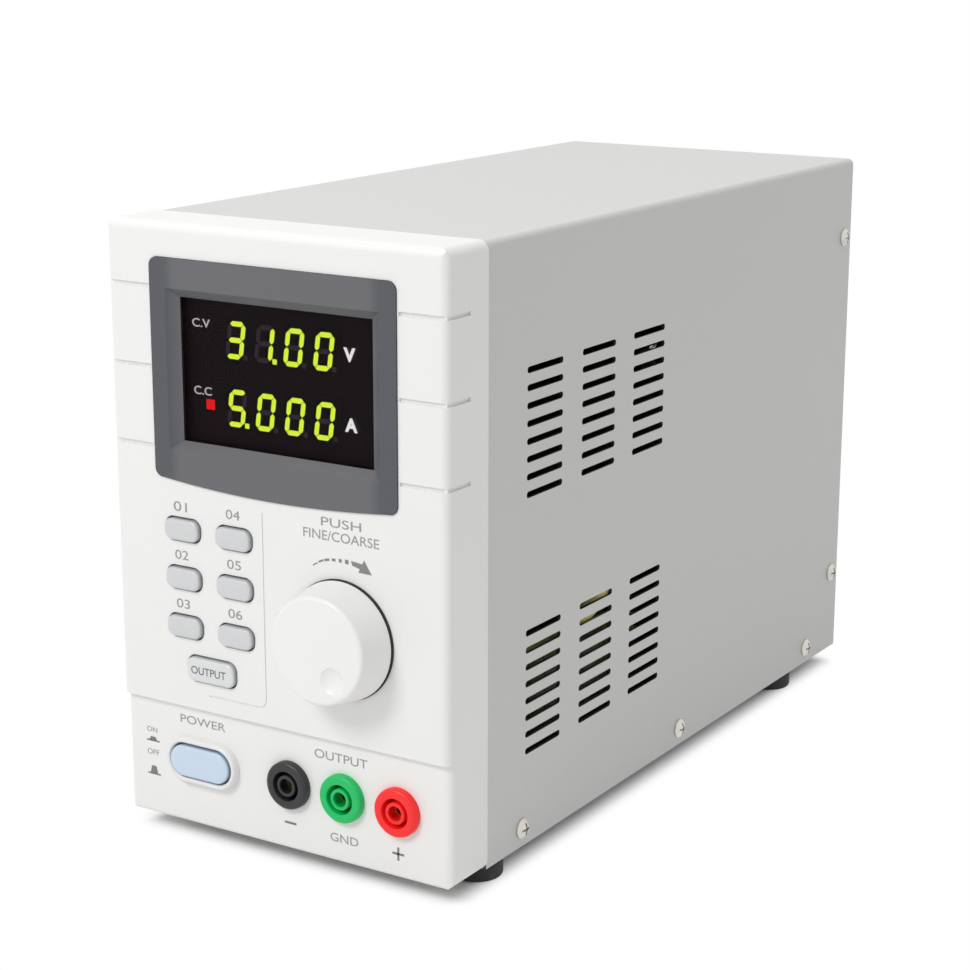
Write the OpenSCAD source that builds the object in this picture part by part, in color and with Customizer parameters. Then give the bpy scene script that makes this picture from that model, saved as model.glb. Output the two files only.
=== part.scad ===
// Laboratory power supply: moulded front, sheet-steel case, front controls, display and inner parts.
// Inside the modules x runs to the right seen from the front, y runs back from the face of the
// lower front section, and z runs up from the underside of the case.

/* [Case] */
// Width of the case
case_w = 110; // [106:1:130]
// Height of the case without its feet
case_h = 170; // [167:1:200]
// Depth of the steel cover
cover_depth = 229; // [228:1:280]
// Thickness of the steel sheets
sheet_t = 1.0; // [0.8:0.1:1.3]
// Outside bend radius of the cover
cover_bend_r = 2.0; // [1.6:0.1:4]
// Gap between the cover and the panels inside it
cover_gap = 0.15; // [0.1:0.05:0.3]
// Length of the bent flanges of the panels
flange_len = 10; // [8:0.5:12]
// Height of the side flanges of the chassis
chassis_flange_h = 12; // [10:0.5:14]

/* [Bezel] */
// Depth of the moulded front bezel at its sides
bezel_depth = 17.3; // [16.5:0.1:22]
// How far the upper front section stands out
upper_step = 1.6; // [1:0.1:2.4]
// Height of the step between the two front sections
step_z = 35.3; // [32:0.1:38]
// Thickness of the bezel side walls
bezel_wall = 2.4; // [2:0.1:3]
// Thickness of the bezel front wall
front_wall = 3.0; // [2.6:0.1:3.4]
// Radius of the bezel corners seen from the front
bezel_corner_r = 3.0; // [2:0.1:4]
// Radius of the edges around the bezel front
bezel_edge_r = 2.5; // [1:0.1:3]
// Radius of the lower edge of the bezel front
low_edge_r = 1.2; // [0.6:0.1:2]
// Width of the decorative grooves
groove_w = 1.1; // [0.6:0.1:2]
// Depth of the decorative grooves
groove_d = 0.7; // [0.4:0.1:1]
// How far the bezel stands out beyond the cover
bezel_lip = 0.4; // [0.2:0.05:0.8]
// How far the grooves run back along the sides
groove_run = 9; // [5:0.5:14]
// Height of the lowest groove
groove_z = 108.9; // [105:0.1:112]
// Spacing of the grooves
groove_pitch = 21.9; // [20:0.1:23]

/* [Display] */
// Width of the display surround
surround_w = 79.6; // [78:0.2:82]
// Height of the display surround at its sides
surround_h = 60.2; // [59:0.2:61]
// Height of the middle of the display above the case bottom
display_z = 130.6; // [129:0.1:132]
// How far the lower edge of the surround bows down
surround_bow = 2.0; // [0.5:0.1:3]
// How far the surround stands out of the bezel
surround_proud = 0.5; // [0.2:0.1:1]
// Thickness of the surround flange
surround_flange_t = 1.9; // [1.6:0.1:2]
// Width of the window opening
window_w = 62.4; // [60:0.2:64]
// Height of the window opening
window_h = 39.2; // [38:0.2:41]
// Depth of the window behind the surround face
window_recess = 2.3; // [1.8:0.1:2.6]
// Width of the bevel at the sides of the window
side_bevel = 3.4; // [1:0.1:4]
// Width of the bevel above and below the window
level_bevel = 2.4; // [1:0.1:3]
// Thickness of the window pane
window_t = 1.5; // [1:0.1:1.8]
// Height of one digit
digit_h = 10.2; // [8:0.1:10.5]
// Width of one digit
digit_w = 5.9; // [5:0.1:6]
// Spacing of the digits
digit_pitch = 9.6; // [9:0.1:10]
// Distance between the two rows of digits
row_pitch = 18.4; // [17:0.1:19]
// Thickness of a digit segment
segment_t = 1.35; // [1:0.05:1.6]
// Slant of the digits in degrees
digit_slant = 8; // [0:1:10]
// Digits shown in the upper row
volt_reading = [3, 1, 0, 0];
// Place after which the upper row shows its point
volt_point = 1; // [0:1:3]
// Digits shown in the lower row
amp_reading = [5, 0, 0, 0];
// Place after which the lower row shows its point
amp_point = 0; // [0:1:3]

/* [Keys] */
// Width of a key
key_w = 11.6; // [10:0.1:12.4]
// Height of a key
key_h = 6.0; // [5:0.1:6.6]
// Corner radius of the keys
key_corner_r = 2.4; // [1:0.1:2.8]
// How far the keys stand out
key_proud = 1.5; // [1:0.1:2]
// How far the keys can be pressed
key_travel = 0.5; // [0.3:0.1:0.8]
// Distance between the two columns of keys
key_pitch_x = 17.6; // [17:0.1:19]
// Distance between the rows of keys
key_pitch_z = 13.8; // [13:0.1:14.2]
// Middle of the key field to the left of the centre
key_field_x = -22.3; // [-23:0.1:-22]
// Height of the lowest row of keys
key_field_z = 58.8; // [58:0.1:60]
// Width of the output key
output_w = 16.2; // [14:0.1:17]
// Height of the output key
output_h = 6.9; // [6:0.1:7.4]
// Height of the output key above the case bottom
output_z = 47.3; // [47:0.1:48]
// Gap around the keys and the mains button
button_gap = 0.5; // [0.3:0.05:0.55]

/* [Power button] */
// Width of the mains button
power_w = 20.4; // [18:0.1:21]
// Height of the mains button
power_h = 9.1; // [8:0.1:9.6]
// Middle of the mains button to the left of the centre
power_x = -27.3; // [-29:0.1:-27]
// Height of the mains button above the case bottom
power_z = 19.4; // [18:0.1:19.6]
// How far the collar stands out
collar_proud = 2.4; // [2:0.1:3]
// Width of the rim of the collar
collar_rim = 1.5; // [1.3:0.1:2]
// How far the latched button stands out of the collar
power_proud = 0.6; // [0.2:0.1:1]
// Travel of the mains button from latched to released
power_travel = 3.5; // [2:0.1:4]

/* [Knob] */
// Radius of the knob at its base
knob_r = 16.3; // [15:0.1:17]
// Radius of the knob at its face
knob_face_r = 14.6; // [13:0.1:14.8]
// Distance from the bezel to the face of the knob
knob_reach = 11.8; // [11:0.1:14]
// Gap between the knob and the bezel
knob_gap = 1.0; // [0.9:0.1:1.4]
// How far the knob can be pressed
knob_travel = 0.5; // [0.3:0.1:0.5]
// Place of the knob to the right of the centre
knob_x = 21.6; // [20:0.1:22]
// Height of the knob above the case bottom
knob_z = 64.2; // [63:0.1:66]
// Radius of the encoder shaft
shaft_r = 3.0; // [2.8:0.1:3]

/* [Sockets] */
// Radius of the socket flanges
socket_r = 6.8; // [6.4:0.1:7.2]
// How far the sockets stand out
socket_proud = 2.3; // [2:0.1:3]
// Distance between the sockets
socket_pitch = 17.9; // [17.5:0.1:18.2]
// Place of the middle socket to the right of the centre
socket_x = 20.3; // [19:0.1:21]
// Height of the sockets above the case bottom
socket_z = 19.1; // [18:0.1:19.2]
// Radius of the plug hole in the contacts
plug_r = 2.0; // [1.95:0.01:2.05]
// Length of the plug hole in the contacts
plug_len = 18; // [16:0.5:18]

/* [Vents] */
// Length of a vent slot
slot_l = 18.6; // [14:0.1:20]
// Height of a vent slot
slot_h = 1.8; // [1.2:0.1:2.4]
// Distance of the first slots behind the front face
slot_y = 37.1; // [36:0.1:44]
// Distance between the columns of slots
slot_pitch_y = 29.05; // [28:0.05:34]
// Distance between the rows of slots
slot_pitch_z = 4.83; // [4.2:0.01:5]
// Height of the lowest slots of the lower group
low_slot_z = 27.1; // [24:0.1:30]
// Height of the lowest slots of the upper group
high_slot_z = 99.5; // [96:0.1:104]
// Number of slot columns in a group
slot_columns = 3; // [1:1:4]
// Number of slot rows in a group
slot_rows = 8; // [2:1:8]

/* [Screws and feet] */
// Radius of the screw heads
screw_head_r = 2.9; // [2.6:0.1:3.1]
// Height of the screw heads
screw_head_h = 1.8; // [1.4:0.1:2]
// Radius of the screw shanks
screw_r = 1.45; // [1.3:0.05:1.5]
// Distance of the first side screw behind the front face
side_screw_y = 35.5; // [34:0.1:38]
// Distance between the side screws along the bottom
side_screw_pitch = 93.1; // [91:0.1:94]
// Height of the side screws along the bottom
side_screw_z = 5.4; // [5:0.1:7]
// Height of the lower rear side screw
rear_screw_low_z = 27.5; // [26:0.1:35]
// Height of the upper rear side screw
rear_screw_high_z = 144; // [140:0.1:150]
// Distance of the rear side screws from the rear edge
rear_screw_inset = 5.6; // [5:0.1:6.5]
// Radius of the feet
foot_r = 7.2; // [6.5:0.1:7.6]
// Height of the feet
foot_h = 6.0; // [5.5:0.1:8]
// Distance of the feet from the sides of the case
foot_inset = 8.5; // [8:0.1:12]
// Distance of the front feet behind the front face
foot_front_y = 25.5; // [25.5:0.1:30]
// Distance between the front and the rear feet
foot_span = 185; // [180:1:190]

/* [Rear] */
// Side of the square fan
fan_w = 60; // [58:1:62]
// Depth of the fan
fan_d = 15; // [15:0.5:17]
// Height of the fan above the case bottom
fan_z = 118; // [112:1:122]
// Width of the mains inlet flange
inlet_w = 50; // [50:0.5:52]
// Place of the mains inlet to the left of the centre
inlet_x = -24; // [-25:0.5:-23]
// Height of the mains inlet above the case bottom
inlet_z = 31; // [28:0.5:34]
// Thickness of the mains inlet flange
inlet_flange_t = 2.0; // [1.6:0.1:2.5]
// How far the fuse drawer slides out
drawer_travel = 12; // [8:0.5:14]
// Place of the voltage selector to the right of the centre
selector_x = 28; // [24:0.5:30]
// Travel of the voltage selector
selector_travel = 5.8; // [4:0.1:6]

/* [Inside] */
// Radius of the transformer
toroid_r = 46; // [42:0.5:46.5]
// Height of the transformer
toroid_h = 44; // [36:0.5:46]
// Distance of the transformer axis behind the front face
toroid_y = 88; // [88:0.5:89]
// Width of the main board
board_w = 92; // [88:0.5:92]
// Depth of the main board
board_d = 74; // [72:0.5:76]
// Distance of the main board behind the front face
board_y = 136; // [136:0.5:138]
// Height of the standoffs under the main board
standoff_h = 7; // [6:0.5:9]
// Height of the heat sink
heat_sink_h = 90; // [80:1:92]
// Radius of the filter capacitors
capacitor_r = 10; // [8:0.5:10]
// Height of the filter capacitors
capacitor_h = 40; // [30:1:44]

/* [Hidden] */
$fn = 64;

// Extra length of a cutting shape beyond the surface that it cuts
cut = 1;
// Radial gap of parts that slide or turn in one another
running_gap = 0.05;
// Gap of fixed parts that fit into openings
fit_gap = 0.1;

// Case
body_depth = bezel_depth + cover_depth;
cover_w = case_w - 2 * bezel_lip;
cover_h = case_h - bezel_lip;
inner_w = cover_w - 2 * sheet_t - 2 * cover_gap;
inner_top_z = cover_h - sheet_t - cover_gap;
plate_back_y = bezel_depth + sheet_t;
rear_inner_y = body_depth - sheet_t;
upper_inner_y = front_wall - upper_step;

// Screw bosses of the bezel
boss_inset = 7.5;
boss_r = 4;
boss_places = [for (side = [-1, 1], z = [boss_inset, case_h - boss_inset])
  [side * (case_w / 2 - boss_inset), z]];

// Control board and what it carries
module_depth = 7.2;
module_face_y = upper_inner_y + 0.8;
control_board_y = module_face_y + module_depth;
control_board_t = 1.6;
control_board_w = case_w - 14;
control_board_z0 = step_z + 5.7;
control_board_z1 = case_h - boss_inset - boss_r - 0.5;
board_post_inset = 3.5;
board_post_x = control_board_w / 2 - board_post_inset;
board_post_zs = [control_board_z0 + board_post_inset, control_board_z1 - board_post_inset];
switch_body_h = 3.5;
switch_body_w = 6;

// Display
surround_face_y = -upper_step - surround_proud;
pocket_d = surround_flange_t - surround_proud;
window_y = surround_face_y + window_recess;
pane_lip = 1.0;
collar_wall = 3.6;
digit_rows = [[volt_reading, volt_point, 1], [amp_reading, amp_point, 0]];
digit_raise = 0.05;
lit_raise = 0.1;
segment_gap = 0.25;
lamp_x = -23.4;
lamp_side = 2.7;

// Keys: name, column and row
key_places = [
  ["key_left_top", 0, 2], ["key_left_middle", 0, 1], ["key_left_bottom", 0, 0],
  ["key_right_top", 1, 2], ["key_right_middle", 1, 1], ["key_right_bottom", 1, 0]
];
key_rim = 1.1;
key_rim_t = 1.0;
key_stem_r = 1.6;
key_stem_in = 0.8;

// Knob and encoder
knob_face_y = -upper_step - knob_reach;
encoder_h = 6.5;
encoder_w = 12;
encoder_y = control_board_y - encoder_h;
bushing_r = shaft_r + 0.9;
bushing_end_y = -upper_step - 2.6;
nut_t = 2.0;
shaft_collar_r = shaft_r + 1;
shaft_collar_t = 1.0;
shaft_collar_gap = 0.4;
shaft_back_y = encoder_y + 4.2;
plunger_r = 1.4;

// Sockets
socket_xs = [socket_x - socket_pitch, socket_x, socket_x + socket_pitch];
barrel_r = socket_r - 1.0;
barrel_len = 22;
contact_wall = 0.45;
contact_r = plug_r + contact_wall;
post_r = contact_r + 0.6;
socket_groove_r = post_r + 1.1;
contact_recess = 4.2;
socket_nut_t = 3;
contact_end_y = 30;

// Screws
thread_gap = 0.05;
clearance_gap = 0.15;
side_screw_ys = [for (i = [0:2]) side_screw_y + i * side_screw_pitch];
rear_screw_y = body_depth - rear_screw_inset;
foot_ys = [foot_front_y, foot_front_y + foot_span];
panel_screw_x = 30;
power_switch_ear = 11;
power_switch_len = 22;
power_switch_w = 15;
power_switch_h = 13;

// Rear
guard_wire_d = 1.6;
guard_standoff = 1.0;
fan_bore_r = fan_w / 2 - 1.5;
fan_hole = fan_w / 2 - 5;
fan_screw_places = [for (sx = [-1, 1], sz = [-1, 1]) [sx * fan_hole, fan_z + sz * fan_hole]];
hub_r = 12.5;
rotor_gap = 1.0;
rotor_back_gap = 4.2;
blade_count = 9;
blade_chord = 17;
blade_tilt = 27;
strut_t = 2.0;
fan_y = rear_inner_y - fan_d;
inlet_body_w = 27.4;
inlet_body_h = 30.6;
inlet_body_d = 28;
inlet_ear = 20;
cavity_w = 24.4;
cavity_h = 16.6;
cavity_d = 17;
cavity_z = inlet_z + 5.2;
drawer_z = inlet_z - 9.3;
drawer_w = 24.4;
drawer_h = 7.4;
drawer_d = drawer_travel + 8;
drawer_gap = 0.3;
fuse_r = 2.6;
fuse_l = 20;
selector_body_w = 22.4;
selector_body_h = 12.4;
selector_body_d = 9;
selector_ear = 14.5;
slider_w = 7;
slider_h = 5.8;
channel_w = slider_w + selector_travel + 2 * drawer_gap;
channel_h = slider_h + 2 * drawer_gap;
rear_proud = max(guard_standoff + guard_wire_d, inlet_flange_t) + screw_head_h;

// Inside
pad_t = 2;
pad_r = 26;
toroid_hole_r = 13;
toroid_edge_r = 7;
toroid_z = sheet_t + pad_t;
board_z = sheet_t + standoff_h;
board_t = 1.6;
board_top_z = board_z + board_t;
heat_sink_y = board_y + 30;
heat_sink_w = 84;
heat_sink_base = 5;
fin_count = 12;
fin_t = 1.6;
fin_d = 30;
semi_w = 15.6;
semi_h = 20;
semi_t = 4.8;
semi_pitch = 20;
semi_z = board_top_z + capacitor_h + 5;
rectifier_w = 30;
rectifier_h = 14;
rectifier_t = 4;
rectifier_gap = 2;
capacitor_pitch = 24;
capacitor_x = -8;
capacitor_y = board_y + 16;
standoff_places = [for (side = [-1, 1], far = [0, 1])
  [side * (board_w / 2 - 5 - 5 * far), far * (board_d - 5) + (1 - far) * 4.5 + board_y]];

// Place of the whole: middle of its depth at y = 0, underside of the feet at z = 0
front_reach = upper_step + knob_reach;
front_y = front_reach - (front_reach + body_depth + rear_proud) / 2;
module in_case() { translate([0, front_y, foot_h]) children(); }

// Wire routes, in the frame of the case: along the floor beside the transformer, over the main board
wire_d = 2.0;
floor_z = sheet_t + wire_d / 2 + 0.2;
wall_x = inner_w / 2 - sheet_t - wire_d / 2 - 0.4;
next_x = wall_x - 1.5 * wire_d;
over_x = (wall_x + next_x) / 2;
over_z = board_top_z + screw_head_h + wire_d / 2 + 0.6;
second_z = over_z + 1.5 * wire_d;
mains_routes = [
  [[-31, 214, 34.4], [-31, 208.5, 34.4], [-43, 208, 30], [-over_x, 204, 20], [-over_x, 192, second_z],
   [-over_x, 142, second_z], [-wall_x, 126, 9], [-wall_x, 112, floor_z], [-wall_x, 64, floor_z],
   [-48, 50, 3.4], [-36, 45, 8], [-31, 44.5, 19.4], [-31, 40.3, 19.4]],
  [[-17, 214, 34.4], [-17, 206, 34.4], [-30, 203.8, 29], [-45.5, 203, 14], [-over_x, 194, over_z],
   [-over_x, 146, over_z], [-next_x, 130, 7], [-next_x, 116, floor_z], [-next_x, 66, floor_z],
   [-43, 55, 7], [-31, 49.5, 19.4], [-26, 46.5, 19.4], [-26, 40.3, 19.4]],
  [[-21.5, 40.3, 19.4], [-21.5, 44.3, 19.4], [-21.5, 44.3, 30], [-21.5, 44.3, 48], [-20.5, 48, 56],
   [-18, 60, 56], [-18, 60, 47]],
  [[18, 116, 47], [18, 116, 56], [18, 130, 56], [18, 138, 50], [18, 138, 30], [18, 138, 9.6]]
];
output_routes = [
  [[34, 140, 9.6], [34, 140, 17], [41, 132, 17], [wall_x, 116, 13], [wall_x, 96, floor_z + 3.2],
   [wall_x, 64, floor_z + 3.2], [48, 49, 12], [38.2, 41, 19.1], [38.2, 30, 19.1]],
  [[30, 140, 9.6], [30, 140, 14], [36, 130, 12.5], [wall_x, 110, floor_z], [wall_x, 62, floor_z],
   [45, 44, 6], [22, 40, 15], [20.3, 37, 19.1], [20.3, 30, 19.1]],
  [[26, 140, 9.6], [26, 140, 14], [30.5, 130, 12], [next_x, 110, floor_z], [next_x, 66, floor_z],
   [39, 43, 2.6], [14, 40, 7], [2.4, 39.5, 17.5], [2.4, 36, 19.1], [2.4, 30, 19.1]]
];
ribbon_route = [[11, 100], [24, 100], [42, 84], [72, 66], [112, 62], [133, 58], [139.5, 50], [139.5, 9.6]];
ribbon_t = 1.0;
ribbon_w = 16;

// Flat outlines

// A rectangle with round corners, centred
module round_rect(w, h, r) {
  square([w - 2 * r, h], center = true);
  square([w, h - 2 * r], center = true);
  for (sx = [-1, 1], sz = [-1, 1]) translate([sx * (w / 2 - r), sz * (h / 2 - r)]) circle(r);
}

// An oblong with half-round ends, centred
module stadium(w, h) {
  square([w - h, h], center = true);
  for (sx = [-1, 1]) translate([sx * (w - h) / 2, 0]) circle(h / 2);
}

// Solids along the axes

// An outline drawn in x and z, as a slab from y0 back to y1
module slab(y0, y1) {
  translate([0, y1, 0]) rotate([90, 0, 0]) linear_extrude(height = y1 - y0) children();
}

// An outline drawn in y and z, as a slab from x0 to x1
module side_slab(x0, x1) {
  translate([x0, 0, 0]) rotate([90, 0, 90]) linear_extrude(height = x1 - x0) children();
}

// A round bar along y
module bar_y(r, y0, y1) {
  translate([0, y1, 0]) rotate([90, 0, 0]) cylinder(r = r, h = y1 - y0);
}

// A box between two corners
module box(low, high) {
  translate(low) cube(high - low);
}

// Screws: the head stands up from z = 0, the shank goes down
module pan_screw(len) {
  dome_r = (pow(screw_head_r, 2) + pow(screw_head_h, 2)) / (2 * screw_head_h) + 0.6;
  recess_w = 0.7;
  difference() {
    union() {
      intersection() {
        cylinder(r = screw_head_r, h = screw_head_h);
        translate([0, 0, screw_head_h - dome_r]) sphere(r = dome_r, $fn = 96);
      }
      translate([0, 0, -len]) cylinder(r = screw_r, h = len + 0.2, $fn = 32);
    }
    for (turn = [0, 90]) rotate([0, 0, turn])
      translate([-screw_head_r * 0.62, -recess_w / 2, screw_head_h - 0.9])
        cube([screw_head_r * 1.24, recess_w, 2]);
  }
}

module screw_back(len) { rotate([-90, 0, 0]) pan_screw(len); }
module screw_front(len) { rotate([90, 0, 0]) pan_screw(len); }

// Front bezel

// What a rounding takes off a square corner at the origin
module corner_waste(r) {
  difference() {
    translate([-cut, -cut]) square(r + cut);
    translate([r, r]) circle(r);
  }
}

// One front section of the bezel from its face y0 back, between two heights
module bezel_block(y0, z0, z1, low_r, top_r) {
  intersection() {
    slab(y0, bezel_depth) intersection() {
      translate([0, case_h / 2]) round_rect(case_w, case_h, bezel_corner_r);
      translate([-case_w / 2 - cut, z0]) square([case_w + 2 * cut, z1 - z0]);
    }
    translate([0, 0, z0 - cut]) linear_extrude(height = z1 - z0 + 2 * cut) difference() {
      translate([-case_w / 2, y0]) square([case_w, bezel_depth - y0]);
      translate([-case_w / 2, y0]) corner_waste(bezel_edge_r);
      translate([case_w / 2, y0]) mirror([1, 0]) corner_waste(bezel_edge_r);
    }
    side_slab(-case_w / 2 - cut, case_w / 2 + cut) difference() {
      translate([y0, z0]) square([bezel_depth - y0, z1 - z0]);
      if (low_r > 0) translate([y0, z0]) corner_waste(low_r);
      if (top_r > 0) translate([y0, z1]) mirror([0, 1]) corner_waste(top_r);
    }
  }
}

module display_outline(grow) {
  w = surround_w + 2 * grow;
  h = surround_h + 2 * grow;
  chord = w / 2 - 3;
  bow_r = (pow(chord, 2) + pow(surround_bow, 2)) / (2 * surround_bow);
  translate([0, display_z]) {
    round_rect(w, h, 2.5 + grow);
    intersection() {
      translate([0, -h / 2 - surround_bow + bow_r]) circle(bow_r, $fn = 360);
      translate([-chord, -h / 2 - surround_bow]) square([2 * chord, surround_bow + cut]);
    }
  }
}

module display_collar(grow) {
  translate([0, display_z])
    round_rect(window_w + 2 * (collar_wall + grow), window_h + 2 * (collar_wall + grow), 2);
}

function key_x(column) = key_field_x + (column - 0.5) * key_pitch_x;
function key_z(row) = key_field_z + row * key_pitch_z;

module grooves() {
  for (i = [0:2], side = [-1, 1]) {
    z = groove_z + i * groove_pitch - groove_w / 2;
    edge = case_w / 2;
    inner_x = surround_w / 2 + 0.5;
    box([side > 0 ? inner_x : -edge - cut, -upper_step - cut, z],
        [side > 0 ? edge + cut : -inner_x, -upper_step + groove_d, z + groove_w]);
    box([side > 0 ? edge - groove_d : -edge - cut, -upper_step - cut, z],
        [side > 0 ? edge + cut : -edge + groove_d, groove_run, z + groove_w]);
  }
}

// Fine line along the right and lower edge of the key field
module key_field_line() {
  line_w = 0.5;
  line_x = key_field_x + 18.7;
  top_z = 95;
  low_z = 39.7;
  r = 3;
  slab(-upper_step - cut, -upper_step + 0.3) {
    translate([line_x - line_w, low_z + r]) square([line_w, top_z - low_z - r]);
    translate([line_x - r - 17, low_z]) square([17, line_w]);
    translate([line_x - r, low_z + r]) intersection() {
      difference() {
        circle(r);
        circle(r - line_w);
      }
      translate([0, -r - cut]) square(r + cut);
    }
  }
}

module front_bezel() {
  color("#efefec") in_case() difference() {
    union() {
      difference() {
        union() {
          bezel_block(-upper_step, step_z, case_h, 0, bezel_edge_r);
          bezel_block(0, 0, step_z, low_edge_r, 0);
        }
        slab(upper_inner_y, bezel_depth + cut) intersection() {
          translate([0, case_h / 2]) round_rect(case_w - 2 * bezel_wall, case_h - 2 * bezel_wall, 1.5);
          translate([-case_w / 2, step_z + 0.8]) square([case_w, case_h]);
        }
        slab(front_wall, bezel_depth + cut)
          translate([0, case_h / 2]) round_rect(case_w - 2 * bezel_wall, case_h - 2 * bezel_wall, 1.5);
      }
      for (p = boss_places) translate([p[0], 0, p[1]]) bar_y(boss_r, upper_inner_y - 0.5, bezel_depth);
      for (side = [-1, 1], z = board_post_zs)
        translate([side * board_post_x, 0, z]) bar_y(3, upper_inner_y - 0.5, control_board_y);
      translate([knob_x, 0, knob_z]) bar_y(8, upper_inner_y - 0.5, encoder_y);
    }
    slab(-upper_step - cut, pocket_d - upper_step) display_outline(fit_gap);
    slab(-upper_step - cut, front_wall + cut) display_collar(fit_gap);
    for (k = key_places) translate([key_x(k[1]), 0, key_z(k[2])])
      slab(-upper_step - cut, front_wall + cut) key_outline(key_w, key_h, button_gap);
    translate([key_field_x, 0, output_z])
      slab(-upper_step - cut, front_wall + cut) key_outline(output_w, output_h, button_gap);
    translate([power_x, 0, power_z])
      slab(-cut, front_wall + cut) stadium(collar_neck_w() + 2 * fit_gap, collar_neck_h() + 2 * fit_gap);
    translate([knob_x, 0, knob_z]) bar_y(bushing_r + fit_gap, -upper_step - cut, encoder_y + cut);
    for (x = socket_xs) translate([x, 0, socket_z]) bar_y(barrel_r + fit_gap, -cut, front_wall + cut);
    for (p = boss_places) translate([p[0], 0, p[1]])
      bar_y(screw_r + thread_gap, bezel_depth - 10, bezel_depth + cut);
    for (side = [-1, 1], z = board_post_zs) translate([side * board_post_x, 0, z])
      bar_y(screw_r + thread_gap, control_board_y - 6, control_board_y + cut);
    grooves();
    key_field_line();
  }
}

// Display

module window_bevel() {
  half_w = window_w / 2;
  half_h = window_h / 2;
  y0 = surround_face_y;
  y1 = window_y;
  intersection() {
    translate([0, 0, display_z - half_h - level_bevel - cut])
      linear_extrude(height = window_h + 2 * level_bevel + 2 * cut)
      polygon([[-half_w - side_bevel, y0], [half_w + side_bevel, y0], [half_w, y1], [-half_w, y1]]);
    side_slab(-half_w - side_bevel - cut, half_w + side_bevel + cut)
      polygon([[y0, display_z - half_h - level_bevel], [y0, display_z + half_h + level_bevel],
               [y1, display_z + half_h], [y1, display_z - half_h]]);
  }
}

module display_surround() {
  color("#64656a") in_case() difference() {
    union() {
      slab(surround_face_y, surround_face_y + surround_flange_t) display_outline(0);
      slab(surround_face_y + surround_flange_t - 0.2, module_face_y) display_collar(0);
    }
    window_bevel();
    slab(window_y - 0.3, module_face_y + cut) translate([0, display_z])
      square([window_w, window_h], center = true);
    slab(window_y, module_face_y + cut) translate([0, display_z])
      square([window_w + 2 * pane_lip, window_h + 2 * pane_lip], center = true);
  }
}

module display_window() {
  color([0.09, 0.07, 0.10, 0.8]) in_case() slab(window_y, window_y + window_t) translate([0, display_z])
    square([window_w + 2 * (pane_lip - fit_gap), window_h + 2 * (pane_lip - fit_gap)], center = true);
}

// Segments a to g of a digit: middle in halves of the digit, and whether it lies level
segments = [["a", 0, 1, true], ["b", 1, 0.5, false], ["c", 1, -0.5, false], ["d", 0, -1, true],
            ["e", -1, -0.5, false], ["f", -1, 0.5, false], ["g", 0, 0, true]];
lit_letters = ["abcdef", "bc", "abged", "abgcd", "fgbc", "afgcd", "afgedc", "abc", "abcdefg", "abcdfg"];
function is_lit(letter, digit) = len(search(letter, lit_letters[digit])) > 0;

// One segment as a bar with pointed ends, leaning with the digit
module segment(s) {
  mid_x = s[1] * (digit_w - segment_t) / 2;
  mid_z = s[2] * (digit_h - segment_t) / 2;
  long = (s[3] ? digit_w - segment_t : (digit_h - segment_t) / 2) / 2 - segment_gap / 2;
  half = segment_t / 2;
  flat = [[-long, 0], [-long + half, half], [long - half, half], [long, 0], [long - half, -half],
    [-long + half, -half]];
  lean = tan(digit_slant);
  polygon([for (p = flat)
    let (x = mid_x + (s[3] ? p[0] : p[1]), z = mid_z + (s[3] ? p[1] : p[0]))
    [x + z * lean, z]]);
}

// Segments and points of both rows, either those that are lit or those that are dark
module row_segments(lit, y0, y1) {
  for (row = digit_rows, place = [0:3]) {
    x = (place - 1.5) * digit_pitch;
    z = display_z + (row[2] - 0.5) * row_pitch;
    translate([x, 0, z]) slab(y0, y1) {
      for (s = segments) if (is_lit(s[0], row[0][place]) == lit) segment(s);
      if ((row[1] == place) == lit)
        translate([digit_w / 2 + 1.0 - digit_h / 2 * tan(digit_slant), -digit_h / 2 + segment_t / 2])
          square(segment_t, center = true);
    }
  }
}

module display_modules() {
  module_w = 4 * digit_pitch + 1.6;
  module_h = row_pitch - 4.4;
  color("#232126") in_case() {
    difference() {
      union() {
        for (row = [0, 1]) slab(module_face_y, control_board_y)
          translate([0, display_z + (row - 0.5) * row_pitch]) square([module_w, module_h], center = true);
        row_segments(false, module_face_y - digit_raise, module_face_y + 0.5);
      }
      row_segments(true, module_face_y - cut, module_face_y + 0.5);
    }
  }
}

module lit_segments() {
  color("#d2f03c") in_case() row_segments(true, module_face_y - lit_raise, module_face_y + 0.5);
}

// Square lamps beside the rows: the upper one is dark, the lower one is lit
module status_lamps() {
  color("#f01010") in_case() for (row = [0, 1])
    translate([lamp_x, 0, display_z + (row - 0.5) * row_pitch])
      slab(module_face_y - lit_raise, control_board_y) square(lamp_side, center = true);
}

// Keys and their board

module key_outline(w, h, grow) {
  round_rect(w + 2 * grow, h + 2 * grow, key_corner_r + grow);
}

module key_solid(w, h) {
  color("#d5d8d9") {
    slab(-upper_step - key_proud, upper_inner_y + 0.6) key_outline(w, h, 0);
    slab(upper_inner_y + 0.3, upper_inner_y + 0.3 + key_rim_t) key_outline(w, h, key_rim);
    bar_y(key_stem_r, upper_inner_y + key_rim_t, control_board_y - switch_body_h + key_stem_in);
  }
}

module key(i) {
  in_case() translate([key_x(key_places[i][1]), 0, key_z(key_places[i][2])]) key_solid(key_w, key_h);
}

module output_key() {
  in_case() translate([key_field_x, 0, output_z]) key_solid(output_w, output_h);
}

module key_switches() {
  places = concat([for (k = key_places) [key_x(k[1]), key_z(k[2])]], [[key_field_x, output_z]]);
  color("#2c2c2e") in_case() for (p = places) translate([p[0], 0, p[1]]) difference() {
    slab(control_board_y - switch_body_h, control_board_y) square(switch_body_w, center = true);
    bar_y(key_stem_r + running_gap, control_board_y - switch_body_h - cut,
          control_board_y - switch_body_h + key_stem_in + key_travel + 0.5);
  }
}

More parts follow.
